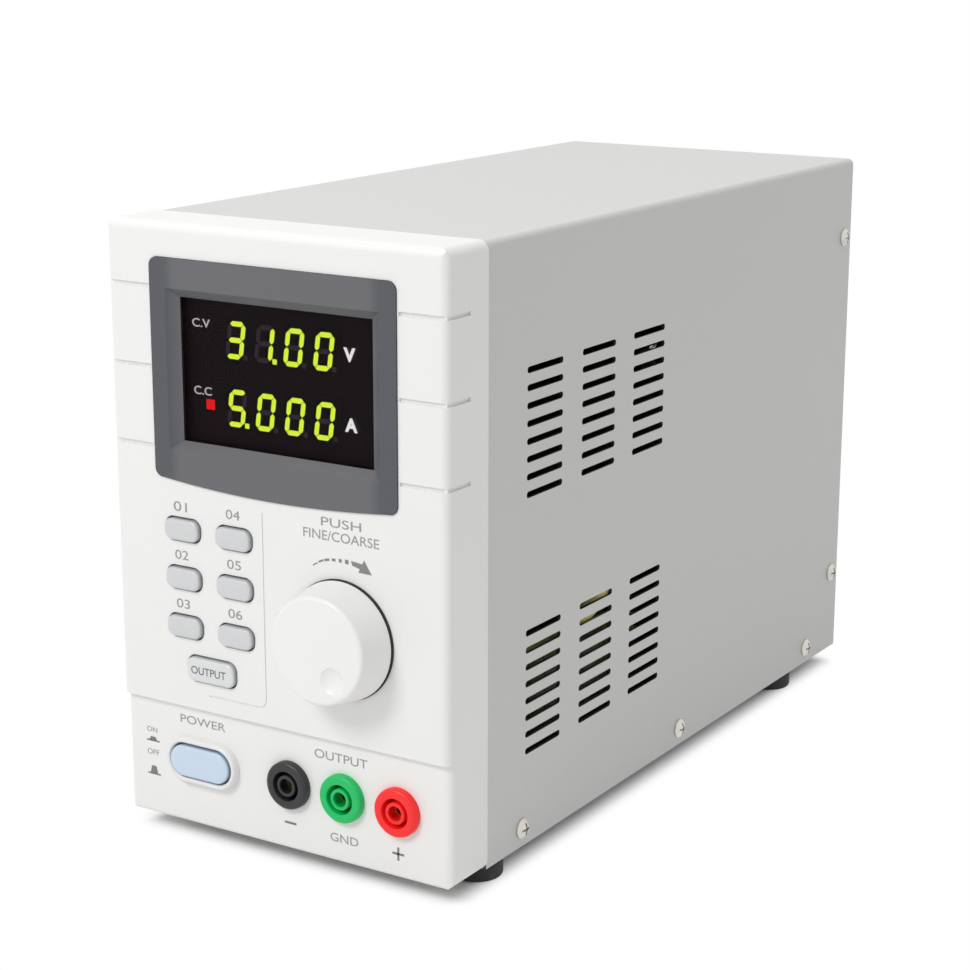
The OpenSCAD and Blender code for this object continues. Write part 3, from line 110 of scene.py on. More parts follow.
def at(x: float, y: float, z: float) -> Vector:
    """Turn a point of the case into metres of the shared frame."""
    return Vector((x * MM, FRONT_Y + y * MM, CASE_Z + z * MM))


def shade(tone: Colour, factor: float) -> Colour:
    """Return a colour made lighter or darker by a factor."""
    return (tone[0] * factor, tone[1] * factor, tone[2] * factor)


# Shader maths


class Sock:
    """An output socket of a material, on which arithmetic adds Math nodes."""

    def __init__(self, graph: "Graph", socket: bpy.types.NodeSocket) -> None:
        """Keep the socket and the graph that it belongs to."""
        self.graph = graph
        self.socket = socket

    def _math(self, kind: str, first: "Feed", second: "Feed" = 0.0) -> "Sock":
        """Return the result of one Math node of a kind on two values or links."""
        return self.graph.add("ShaderNodeMath", {"operation": kind}, {0: first, 1: second})

    def __add__(self, other: "Feed") -> "Sock":
        """Return self + other."""
        return self._math("ADD", self, other)

    __radd__ = __add__

    def __sub__(self, other: "Feed") -> "Sock":
        """Return self - other."""
        return self._math("SUBTRACT", self, other)

    def __rsub__(self, other: "Feed") -> "Sock":
        """Return other - self."""
        return self._math("SUBTRACT", other, self)

    def __mul__(self, other: "Feed") -> "Sock":
        """Return self * other."""
        return self._math("MULTIPLY", self, other)

    __rmul__ = __mul__

    def __truediv__(self, other: "Feed") -> "Sock":
        """Return self / other."""
        return self._math("DIVIDE", self, other)

    def __abs__(self) -> "Sock":
        """Return the absolute value."""
        return self._math("ABSOLUTE", self)

    def above(self, limit: "Feed") -> "Sock":
        """Return 1 where self is greater than limit, and 0 elsewhere."""
        return self._math("GREATER_THAN", self, limit)

    def below(self, limit: "Feed") -> "Sock":
        """Return 1 where self is less than limit, and 0 elsewhere."""
        return self._math("LESS_THAN", self, limit)

    def wrapped(self, length: float) -> "Sock":
        """Return what is left of self after whole lengths are taken off."""
        return self._math("FLOORED_MODULO", self, length)

    def highest(self, other: "Feed") -> "Sock":
        """Return the greater of self and other."""
        return self._math("MAXIMUM", self, other)

    def root(self) -> "Sock":
        """Return the square root."""
        return self._math("SQRT", self)

    def sine(self) -> "Sock":
        """Return the sine."""
        return self._math("SINE", self)

    def angle_over(self, other: "Feed") -> "Sock":
        """Return the angle whose tangent is self over other."""
        return self._math("ARCTAN2", self, other)

    def softly(self, low: float, high: float) -> "Sock":
        """Rise smoothly from 0 where self is low to 1 where it is high."""
        ends = {"Value": self, "From Min": low, "From Max": high}
        return self.graph.add("ShaderNodeMapRange", {"interpolation_type": "SMOOTHSTEP"}, ends)


Feed = Sock | float | Colour | Vector


class Graph:
    """The node tree of one material or of a world."""

    def __init__(self, name: str, world: bpy.types.World | None = None) -> None:
        """Start an empty node tree.

        Args:
            name: The material's name.
            world: The world to use in place of a new material.
        """
        self.material = None if world else bpy.data.materials.new(name)
        owner = world or self.material
        owner.use_nodes = True
        self.tree = owner.node_tree
        self.tree.nodes.clear()
        self.out = self.tree.nodes.new("ShaderNodeOutput" + ("World" if world else "Material"))

    def feed(self, socket: bpy.types.NodeSocket, value: Feed) -> None:
        """Link a socket or set its value.

        Args:
            socket: The input to fill.
            value: A link, a number or a colour.
        """
        if isinstance(value, Sock):
            self.tree.links.new(value.socket, socket)
        elif socket.type == "RGBA":
            socket.default_value = (*value, 1.0)
        else:
            socket.default_value = value

    def add(
        self,
        kind: str,
        settings: Mapping[str, object] | None = None,
        inputs: Mapping[int | str, Feed] | None = None,
        output: int | str = 0,
    ) -> Sock:
        """Add any node.

        Args:
            kind: The node's type.
            settings: Its properties.
            inputs: Values or links of its sockets.
            output: Which output to return.

        Returns:
            The chosen output.
        """
        node = self.tree.nodes.new(kind)
        for key, value in (settings or {}).items():
            setattr(node, key, value)
        for key, value in (inputs or {}).items():
            self.feed(node.inputs[key], value)
        return Sock(self, node.outputs[output])

    def finish(self, shader: Sock) -> None:
        """Link the tree's last shader to its output."""
        self.feed(self.out.inputs["Surface"], shader)

    def blend(self, factor: Feed, first: Feed, second: Feed) -> Sock:
        """Return the first colour where factor is 0, and the second where it is 1."""
        colours = {0: factor, 6: first, 7: second}
        return self.add("ShaderNodeMix", {"data_type": "RGBA"}, colours, 2)

    def mottled(self, factor: Feed, tone: Colour, low: float, high: float) -> Sock:
        """Return the tone times low where factor is 0, and times high where it is 1."""
        return self.blend(factor, shade(tone, low), shade(tone, high))

    def place(self, stretch: Triple | None = None) -> Sock:
        """Return the point on the surface.

        Args:
            stretch: Factors of its three axes, if any.

        Returns:
            The point in metres, times the factors.
        """
        point = self.add("ShaderNodeTexCoord", output="Object")
        if stretch is None:
            return point
        factors = {0: point, 1: Vector(stretch)}
        return self.add("ShaderNodeVectorMath", {"operation": "MULTIPLY"}, factors)

    def axis(self, index: int) -> Sock:
        """Return the point's x, y or z in metres, for index 0, 1 or 2."""
        return self.add("ShaderNodeSeparateXYZ", None, {0: self.place()}, index)

    def past(self, index: int, place: float) -> Sock:
        """Return how many metres the point lies past a place of the case along an axis."""
        return self.axis(index) - (ORIGIN[index] + place * MM)

    def noise(self, size: float, detail: float = 2.0, stretch: Triple | None = None) -> Sock:
        """Return a noise around 0.5, with spots of a size, finer layers and a stretch."""
        inputs = {"Vector": self.place(stretch), "Scale": 1.0 / (size * MM), "Detail": detail}
        return self.add("ShaderNodeTexNoise", None, inputs)

    def cells(self, size: float) -> Sock:
        """Add cells.

        Args:
            size: Their size in millimetres.

        Returns:
            A random number for each cell, from 0 to 1.
        """
        inputs = {"Vector": self.place(), "Scale": 1.0 / (size * MM)}
        cell = self.add("ShaderNodeTexVoronoi", None, inputs, "Color")
        return self.add("ShaderNodeSeparateColor", None, {0: cell})

    def bump(self, height: Sock, depth: float) -> Sock:
        """Return the normal of a relief that is depth millimetres deep."""
        inputs = {"Height": height, "Distance": depth * MM, "Strength": 1.0}
        return self.add("ShaderNodeBump", None, inputs)

    def surface(
        self,
        base: Feed,
        roughness: Feed,
        metallic: Feed = 0.0,
        normal: Sock | None = None,
        others: Mapping[str, Feed] | None = None,
    ) -> None:
        """Finish the material with one Principled shader.

        Args:
            base: Base colour.
            roughness: Roughness.
            metallic: Share of metal.
            normal: The bumped normal.
            others: Values or links of further sockets, by name.
        """
        inputs = {"Base Color": base, "Roughness": roughness, "Metallic": metallic}
        inputs |= others or {}
        if normal is not None:
            inputs["Normal"] = normal
        self.finish(self.add("ShaderNodeBsdfPrincipled", None, inputs))


# Finishes


@dataclass(frozen=True)
class Finish:
    """A surface finish. Its material is made once, when it is first asked for."""

    label: str
    made: ClassVar[dict[str, bpy.types.Material]] = {}

    def material(self) -> bpy.types.Material:
        """Return the finish's material.

        Returns:
            The material, the same one at every call.
        """
        if self.label not in Finish.made:
            graph = Graph(self.label)
            self.paint(graph)
            Finish.made[self.label] = graph.material
        return Finish.made[self.label]

    def paint(self, graph: Graph) -> None:
        """Add the finish's nodes to an empty material."""
        raise NotImplementedError


@dataclass(frozen=True)
class Moulded(Finish):
    """Moulded plastic with spark-eroded grain, slow drift of tone and small rubbed spots."""

    tone: Colour
    roughness: float = 0.42
    grain: float = 0.35
    depth: float = 0.012
    drift: float = 0.02
    coat: float = 0.0
    specular: float = 0.5
    coat_roughness: float = 0.12
    cloud: float = 40.0
    rub: float = 9.0
    rub_from: Point = (0.56, 0.7)

    def drifting(self, graph: Graph, tone: Colour) -> Sock:
        """Return a tone with its slow drift."""
        cloud = graph.noise(self.cloud, 3.0)
        return graph.mottled(cloud, tone, 1.0 - self.drift, 1.0 + self.drift)

    def colour(self, graph: Graph) -> Sock:
        """Return the colour of the plastic."""
        return self.drifting(graph, self.tone)

    def paint(self, graph: Graph) -> None:
        """Add drift, grain and rubbed spots.

        Args:
            graph: The empty material.
        """
        grain = graph.noise(self.grain)
        rubbed = graph.noise(self.rub, 4.0).softly(*self.rub_from)
        rough = grain * 0.14 + (self.roughness - 0.07) - rubbed * 0.06
        others = {"Specular IOR Level": self.specular}
        if self.coat:
            others |= {"Coat Weight": self.coat, "Coat Roughness": self.coat_roughness}
        graph.surface(self.colour(graph), rough, 0.0, graph.bump(grain, self.depth), others)


@dataclass(frozen=True)
class FramePlastic(Moulded):
    """Grey plastic of the display frame, with painted shade that darkens its two upright bars."""

    tone: Colour = (0.123, 0.1245, 0.134)
    grain: float = 0.45
    depth: float = 0.016
    drift: float = 0.03
    painted_bar_shade: Colour = (0.0765, 0.081, 0.093)
    painted_shade_from: Point = (30.5, 35.5)

    def colour(self, graph: Graph) -> Sock:
        """Return the colour, which turns from the rim's tone to the painted shade of the bars."""
        # Painted shade: the upright bars are darkened in the colour, as if they faced away from the
        # light.
        side = abs(graph.axis(0)).softly(*(x * MM for x in self.painted_shade_from))
        return graph.blend(side, self.drifting(graph, self.tone), self.drifting(graph, self.painted_bar_shade))


@dataclass(frozen=True)
class Milky(Finish):
    """Thin milky plastic of a key or cap, with painted shade that darkens its flanks."""

    tone: Colour = (0.635, 0.645, 0.653)
    edge: Colour = (0.4, 0.41, 0.43)
    face_y: float = -3.1
    roughness: float = 0.3
    shaded_flank: Point = (0.15, 0.9)
    coat: float = 0.35
    coat_roughness: float = 0.18

    def paint(self, graph: Graph) -> None:
        """Add the painted shade on the flank, a soft mottle and a thin clear skin.

        Args:
            graph: The empty material.
        """
        # Painted shade: behind the face the flanks turn to the darker edge colour, in place of the
        # shade in the gap round the cap.
        flank_shade = graph.past(1, self.face_y).softly(*(depth * MM for depth in self.shaded_flank))
        mottle = graph.noise(3.0, 3.0)
        base = graph.blend(flank_shade, graph.mottled(mottle, self.tone, 0.975, 1.025), self.edge)
        rough = self.roughness + (mottle - 0.5) * 0.12
        skin = {"Coat Weight": self.coat, "Coat Roughness": self.coat_roughness}
        graph.surface(base, rough, 0.0, graph.bump(graph.noise(0.3), 0.004), skin)


@dataclass(frozen=True)
class PowderCoat(Finish):
    """Baked powder paint with a fine orange peel, and painted shade, near black, inside the vented
    sides and on the vents' cut edges.
    """

    tone: Colour = (0.63, 0.635, 0.612)
    peel: float = 0.75
    speck: float = 0.22
    cloud: float = 70.0
    vent_painted_shade: Colour = (0.03, 0.03, 0.031)
    side_x: float = 54.55
    vents_end: Point = (125.0, 150.0)

    def paint(self, graph: Graph) -> None:
        """Add the peel, specks, a slow drift of tone and the painted shade in the vents.

        Args:
            graph: The empty material.
        """
        peel = graph.noise(self.peel)
        speck = graph.noise(self.speck, 1.0)
        cloud = graph.noise(self.cloud, 3.0)
        tone = graph.mottled(cloud, self.tone, 0.98, 1.02)
        paint = graph.blend(speck.softly(0.3, 0.75), shade(self.tone, 0.94), tone)
        # Painted shade: near black inside the vented sides and on the slots' cut edges, in place of
        # the shade inside the case.
        painted_shade_mask = abs(graph.axis(0)).below(self.side_x * MM)
        for index, end in enumerate(self.vents_end, 1):
            painted_shade_mask = painted_shade_mask * graph.past(index, end).below(0.0)
        rough = 0.4 + (peel - 0.5) * 0.2 + (cloud - 0.5) * 0.06
        normal = graph.bump(peel * 0.8 + speck * 0.2, 0.02)
        graph.surface(graph.blend(painted_shade_mask, paint, self.vent_painted_shade), rough, 0.0, normal)


@dataclass(frozen=True)
class ZincSheet(Finish):
    """Galvanised sheet with its frost-like spangles and rolling lines."""

    tone: Colour = (0.56, 0.58, 0.6)
    spangle: float = 5.0
    line: float = 1.2
    rolled: Triple = (1.0, 0.05, 1.0)

    def paint(self, graph: Graph) -> None:
        """Add spangles and rolling lines.

        Args:
            graph: The empty material.
        """
        cell = graph.cells(self.spangle)
        lines = graph.noise(self.line, 3.0, self.rolled)
        base = graph.mottled(cell, self.tone, 0.82, 1.12)
        rough = 0.3 + cell * 0.16 + (lines - 0.5) * 0.12
        graph.surface(base, rough, 0.95, graph.bump(lines * 0.6 + cell * 0.4, 0.01))


@dataclass(frozen=True)
class Plated(Finish):
    """Plated or bare metal with fine working marks along one axis."""

    tone: Colour
    roughness: float = 0.24
    marks: Triple = (1.0, 1.0, 0.15)
    size: float = 0.4
    stain: float = 6.0

    def paint(self, graph: Graph) -> None:
        """Add working marks, a faint tarnish and uneven gloss.

        Args:
            graph: The empty material.
        """
        marks = graph.noise(self.size, 3.0, self.marks)
        tarnish = graph.noise(self.stain, 4.0).softly(0.45, 0.75)
        base = graph.mottled(tarnish, self.tone, 1.0, 0.8)
        rough = self.roughness + marks * 0.14 + tarnish * 0.08
        graph.surface(base, rough, 1.0, graph.bump(marks, 0.004))


@dataclass(frozen=True)
class Rubber(Finish):
    """Matt rubber with fine pits and a trace of dust."""

    tone: Colour = (0.021, 0.021, 0.023)
    dust: Colour = (0.09, 0.088, 0.085)

    def paint(self, graph: Graph) -> None:
        """Add pits and dust.

        Args:
            graph: The empty material.
        """
        pits = graph.noise(0.5, 3.0)
        dusty = graph.noise(5.0, 4.0).softly(0.5, 0.8)
        base = graph.blend(dusty * 0.5, self.tone, self.dust)
        graph.surface(base, 0.68 + pits * 0.2, 0.0, graph.bump(pits, 0.03))


@dataclass(frozen=True)
class TintedPane(Finish):
    """Dark see-through acrylic with faint wipe marks."""

    tone: Colour = (0.007, 0.0015, 0.003)
    cover: float = 0.42
    specular: float = 0.05
    wiped: Triple = (1.0, 1.0, 0.25)

    def paint(self, graph: Graph) -> None:
        """Add wipe marks that show only in the gloss.

        Args:
            graph: The empty material.
        """
        wipes = graph.noise(5.0, 4.0, self.wiped)
        base = graph.mottled(wipes, self.tone, 0.9, 1.1)
        others = {"Alpha": self.cover, "Specular IOR Level": self.specular}
        graph.surface(base, 0.04 + wipes * 0.05, 0.0, None, others)


@dataclass(frozen=True)
class DisplayFace(Finish):
    """Black face of the digit modules with its unlit segments, which stand out a little."""

    segment_y: float = 2.175
    black: Colour = (0.0035, 0.003, 0.004)
    ghost: Colour = (0.17, 0.125, 0.17)

    def paint(self, graph: Graph) -> None:
        """Tint the raised segments and grain the face.

        Args:
            graph: The empty material.
        """
        grain = graph.noise(0.25)
        raised = graph.past(1, self.segment_y).below(0.0)
        base = graph.blend(raised, self.black, graph.mottled(grain, self.ghost, 0.85, 1.15))
        graph.surface(base, 0.5 + grain * 0.2, 0.0, graph.bump(grain, 0.004))


@dataclass(frozen=True)
class Glowing(Finish):
    """Lit light guide, a little brighter in its grain. Above a height it is off."""

    glow: Colour = (0.67, 0.87, 0.045)
    dark: Colour = (0.02, 0.02, 0.01)
    strength: float = 2.9
    below_z: float = 1000.0

    def paint(self, graph: Graph) -> None:
        """Add the glow with slight unevenness.

        Args:
            graph: The empty material.
        """
        spread = graph.noise(0.9)
        lit = graph.past(2, self.below_z).below(0.0)
        glow = graph.blend(lit, (0.0, 0.0, 0.0), graph.mottled(spread, self.glow, 0.9, 1.1))
        others = {"Emission Color": glow, "Emission Strength": self.strength}
        graph.surface(self.dark, 0.35 + spread * 0.1, 0.0, None, others)


@dataclass(frozen=True)
class Laminate(Finish):
    """Green circuit board with traces, tinned pads and glass weave."""

    level: bool = True
    mask: Colour = (0.012, 0.11, 0.035)
    trace: Colour = (0.03, 0.2, 0.07)
    tin: Colour = (0.55, 0.56, 0.55)
    pitch: float = 2.54
    sway: float = 4.0
    pad_r: float = 0.6
    threads: float = 9000.0

    def paint(self, graph: Graph) -> None:
        """Add traces along two directions, pads in a grid and the weave.

        Args:
            graph: The empty material.
        """
        ways = (graph.axis(0), graph.axis(1 if self.level else 2))
        pitch = self.pitch * MM
        sway = (graph.noise(16.0, 1.0) - 0.5) * (self.sway * MM)
        rows, columns = (abs((way + sway).wrapped(pitch) / pitch - 0.5).above(0.3) for way in ways)
        lines = graph.blend(
            graph.cells(11.0).above(0.5),
            graph.blend(rows, self.mask, self.trace),
            graph.blend(columns, self.mask, self.trace),
        )
        dx, dy = (way.wrapped(2 * pitch) - pitch for way in ways)
        pads = (dx * dx + dy * dy).root().below(self.pad_r * MM) * graph.cells(7.0).above(0.55)
        weave = (ways[0] * self.threads).sine() * (ways[1] * self.threads).sine()
        base = graph.blend(pads, lines, self.tin)
        rough = 0.32 + pads * 0.1 + weave * 0.03
        graph.surface(base, rough, pads * 0.9, graph.bump(weave * 0.2 + pads, 0.02))


@dataclass(frozen=True)
class WoundTape(Finish):
    """Amber tape wound over a ring core, lap over lap."""

    centre_y: float = 88.0
    laps: int = 56
    tone: Colour = (0.2, 0.155, 0.045)

    def paint(self, graph: Graph) -> None:
        """Stripe the tape by the angle about the core's axis.

        Args:
            graph: The empty material.
        """
        angle = graph.axis(0).angle_over(graph.past(1, self.centre_y))
        lap = (angle * (self.laps / math.tau) + graph.noise(30.0) * 0.25).wrapped(1.0)
        mottle = graph.noise(2.0, 3.0)
        tape = graph.mottled(mottle, self.tone, 0.75, 1.1)
        base = graph.blend(lap.softly(0.82, 1.0), tape, shade(self.tone, 0.4))
        graph.surface(base, 0.3 + mottle * 0.15, 0.0, graph.bump(lap * 0.8 + mottle * 0.2, 0.2))


@dataclass(frozen=True)
class Sleeve(Finish):
    """Shrink sleeve of a capacitor with a plain stripe, under a bare aluminium top."""

    top_z: float = 49.4
    first_x: float = -8.0
    pitch: float = 24.0
    tone: Colour = (0.018, 0.022, 0.035)
    stripe: Colour = (0.45, 0.47, 0.5)
    aluminium: Colour = (0.6, 0.6, 0.62)

    def paint(self, graph: Graph) -> None:
        """Put the stripe on one side and the metal on the top.

        Args:
            graph: The empty material.
        """
        top = graph.past(2, self.top_z).above(0.0)
        side = (graph.past(0, self.first_x) / (self.pitch * MM) + 0.5).wrapped(1.0)
        grain = graph.noise(1.0, 3.0)
        skin = graph.blend(side.softly(0.78, 0.8), self.tone, self.stripe)
        base = graph.blend(top, skin, self.aluminium)
        graph.surface(base, 0.28 + grain * 0.14, top, graph.bump(grain, 0.01))


@dataclass(frozen=True)
class Flex(Finish):
    """Soft insulation with a slight ripple."""

    tone: Colour

    def paint(self, graph: Graph) -> None:
        """Add ripple and a little dirt.

        Args:
            graph: The empty material.
        """
        ripple = graph.noise(1.4, 3.0)
        dirt = graph.noise(12.0, 3.0).softly(0.5, 0.8)
        base = graph.mottled(dirt * 0.35, self.tone, 1.0, 0.55)
        graph.surface(base, 0.36 + ripple * 0.12, 0.0, graph.bump(ripple, 0.02))


@dataclass(frozen=True)
class Ribbon(Finish):
    """Flat cable: grey strands side by side, the first one red."""

    half_width: float = 8.0
    pitch: float = 1.27
    strand: Colour = (0.34, 0.36, 0.39)
    valley: Colour = (0.16, 0.17, 0.19)
    first: Colour = (0.5, 0.03, 0.03)

    def paint(self, graph: Graph) -> None:
        """Draw the strands by their place across the cable.

        Args:
            graph: The empty material.
        """
        across = graph.axis(0)
        away = abs((across / (self.pitch * MM)).wrapped(1.0) - 0.5)
        edge = across.below((self.pitch - self.half_width) * MM)
        grey = graph.blend(away.softly(0.36, 0.5), self.strand, self.valley)
        base = graph.blend(edge, grey, self.first)
        rough = 0.4 + graph.noise(3.0) * 0.12
        graph.surface(base, rough, 0.0, graph.bump(1.0 - away * away * 4.0, 0.15))


@dataclass(frozen=True)
class FuseTube(Finish):
    """Glass fuse: metal caps at both ends of a clear tube."""

    middle_x: float = -24.0
    cap_from: float = 5.2
    glass: Colour = (0.7, 0.75, 0.75)
    metal: Colour = (0.66, 0.65, 0.62)
    glass_cover: float = 0.35

    def paint(self, graph: Graph) -> None:
        """Split caps from glass by the distance from the middle.

        Args:
            graph: The empty material.
        """
        caps = abs(graph.past(0, self.middle_x)).above(self.cap_from * MM)
        wear = graph.noise(1.5, 3.0)
        base = graph.blend(caps, self.glass, self.metal)
        cover = self.glass_cover + caps * (1.0 - self.glass_cover)
        graph.surface(base, 0.08 + caps * 0.14 + wear * 0.06, caps, None, {"Alpha": cover})


@dataclass(frozen=True)
class Ink(Finish):
    """Screen-printed ink, slightly uneven; where glow is set, it also has a painted glow."""

    tone: Colour
    glow: float = 0.0

    def paint(self, graph: Graph) -> None:
        """Add the uneven cover of the ink and its painted glow, if any.

        Args:
            graph: The empty material.
        """
        cover = graph.noise(0.4, 3.0)
        base = graph.mottled(cover, self.tone, 0.85, 1.1)
        # Painted light: with glow set, the ink gives off its own colour, so that print behind the
        # tinted pane shows bright.
        others = {"Emission Color": base, "Emission Strength": self.glow} if self.glow else {}
        graph.surface(base, 0.5 + cover * 0.2, 0.0, graph.bump(cover, 0.003), others)


FRONT_PLASTIC = Moulded("front_plastic", (0.86, 0.857, 0.84), 0.44, 0.4, 0.01, 0.012)
KNOB_PLASTIC = Moulded("knob_plastic", (0.87, 0.868, 0.85), 0.36, 0.35, 0.006, 0.012)
COLLAR_PLASTIC = Moulded("collar_plastic", (0.835, 0.835, 0.825), 0.32, 0.4, 0.004, 0.01, 0.15)
SURROUND_PLASTIC = FramePlastic("surround_plastic")
DARK_PLASTIC = Moulded("dark_plastic", (0.026, 0.026, 0.028), 0.45, 0.5, 0.02, 0.08)
FAN_PLASTIC = Moulded("fan_plastic", (0.012, 0.012, 0.013), 0.8, 0.5, 0.02, 0.08, 0.0, 0.1)
INLET_PLASTIC = Moulded("inlet_plastic", (0.022, 0.022, 0.025), 0.34, 0.4, 0.012, 0.06)
SLIDER_PLASTIC = Moulded("slider_plastic", (0.58, 0.025, 0.018), 0.35, 0.4, 0.01, 0.05)
BLACK_SOCKET = Moulded("black_socket", (0.021, 0.02, 0.022), 0.42, 0.5, 0.01, 0.05)
GREEN_SOCKET = Moulded("green_socket", (0.0, 0.52, 0.12), 0.42, 0.5, 0.01, 0.04)
RED_SOCKET = Moulded("red_socket", (0.97, 0.014, 0.014), 0.42, 0.5, 0.01, 0.04)
HEADER_PLASTIC = Moulded("header_plastic", (0.7, 0.68, 0.6), 0.4, 0.4, 0.01, 0.04)
RELAY_PLASTIC = Moulded("relay_plastic", (0.03, 0.05, 0.16), 0.35, 0.4, 0.008, 0.05)
CHIP_RESIN = Moulded("chip_resin", (0.02, 0.02, 0.021), 0.6, 0.3, 0.03, 0.1)
RESISTOR_LACQUER = Moulded("resistor_lacquer", (0.6, 0.44, 0.26), 0.4, 0.6, 0.02, 0.1)
BLADE_SLEEVE = Moulded("blade_sleeve", (0.5, 0.06, 0.05), 0.3, 0.6, 0.01, 0.06, 0.2)
MASK_FILM = Moulded("mask_film", (0.003, 0.0026, 0.0034), 0.5, 0.4, 0.004, 0.1)
ANODISED = Moulded("black_anodising", (0.013, 0.013, 0.015), 0.5, 0.5, 0.01, 0.12)
# The edge colours of the milky plastics are painted shade on the flanks of the keys and the button
# cap.
KEY_PLASTIC = Milky("key_plastic")
OUTPUT_PLASTIC = Milky("output_key_plastic", (0.72, 0.73, 0.73), (0.46, 0.47, 0.48))
BUTTON_PLASTIC = Milky("button_plastic", (0.59, 0.7, 0.84), (0.3, 0.38, 0.5), -3.0, 0.22)
PAINT = PowderCoat("cover_paint")
ZINC = ZincSheet("zinc_sheet")
NICKEL = Plated("nickel_screws", (0.66, 0.64, 0.6), 0.2)
STEEL = Plated("plated_steel", (0.62, 0.63, 0.64), 0.22)
BLADE = Plated("blade_metal", (0.66, 0.66, 0.67), 0.2, (1.0, 0.12, 1.0))
BRASS = Plated("contact_brass", (0.72, 0.5, 0.2), 0.2)
EXTRUSION = Plated("drawn_aluminium", (0.56, 0.57, 0.58), 0.3, (1.0, 1.0, 0.03), 0.8)
FOIL = Plated("hub_foil", (0.66, 0.66, 0.67), 0.32, (1.0, 1.0, 1.0), 0.7)
FOOT_RUBBER = Rubber("foot_rubber")
PAD_RUBBER = Rubber("pad_rubber", (0.026, 0.026, 0.027))
# Painted shade: a near-black ring on the panel under the knob, in place of the shade in the gap
# behind it.
KNOB_SHADE = Rubber("knob_painted_shade", (0.03, 0.029, 0.028))
PANE = TintedPane("window_pane")
FACE = DisplayFace("display_face")
DIGITS = Glowing("digit_light")
LAMPS = Glowing("lamp_light", (0.9, 0.006, 0.006), (0.03, 0.008, 0.008), 2.4, 130.0)
BOARD_LEVEL = Laminate("main_board_laminate")
BOARD_UPRIGHT = Laminate("control_board_laminate", False)
TAPE = WoundTape("winding_tape")
SLEEVE = Sleeve("capacitor_sleeve")
BROWN_FLEX = Flex("brown_insulation", (0.2, 0.07, 0.03))
RED_FLEX = Flex("red_insulation", (0.42, 0.02, 0.02))
YELLOW_FLEX = Flex("yellow_sleeve", (0.95, 0.88, 0.3))
RIBBON = Ribbon("ribbon_vinyl")
FUSE_GLASS = FuseTube("fuse_glass")
GREY_INK = Ink("label_ink", (0.33, 0.33, 0.33))
SIGN_INK = Ink("sign_ink", (0.2, 0.2, 0.2))
ARROW_INK = Ink("arrow_ink", (0.24, 0.24, 0.24))
DARK_INK = Ink("dark_ink", (0.1, 0.11, 0.13))
# Painted light: the window legends glow, though they are only print.
PAINTED_GLOW_INK = Ink("window_legend", (0.8, 0.78, 0.8), 2.6)
DIM_PAINTED_GLOW_INK = Ink("window_small_legend", (0.8, 0.78, 0.8), 1.3)


def dress(finish: Finish, *nodes: str) -> None:
    """Give solids a finish.

    Args:
        finish: The finish for all their faces.
        nodes: The names of the solids.
    """
    for node in nodes:
        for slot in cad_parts[node].material_slots:
            slot.material = finish.material()
        LOG.info("dressed %s with %s", node, finish.label)


# Meshes


def round_outline(w: float, h: float, r: float, corner_points: int = 10) -> list[Point]:
    """Return the points of a rectangle with round corners.

    Args:
        w: Width.
        h: Height.
        r: Corner radius, taken smaller where the rectangle is too small for it.
        corner_points: Number of points on each corner.

    Returns:
        The points, counter-clockwise from the right side.
    """
    least = 0.01
    r = max(min(r, w / 2 - least, h / 2 - least), least)
    points = []
    for corner, (sx, sz) in enumerate(((1, 1), (-1, 1), (-1, -1), (1, -1))):
        for i in range(corner_points):
            a = math.radians(90 * corner + 90 * i / (corner_points - 1))
            x, z = sx * (w / 2 - r), sz * (h / 2 - r)
            points.append((x + r * math.cos(a), z + r * math.sin(a)))
    return points


def stadium(w: float, h: float, grow: float = 0.0) -> list[Point]:
    """Return the points of an oblong with half-round ends, grown on all sides."""
    return round_outline(w + 2 * grow, h + 2 * grow, h / 2 + grow, 16)


def disc(r: float, steps: int) -> list[Point]:
    """Return the points of a circle."""
    turns = (math.tau * i / steps for i in range(steps))
    return [(r * math.cos(a), r * math.sin(a)) for a in turns]


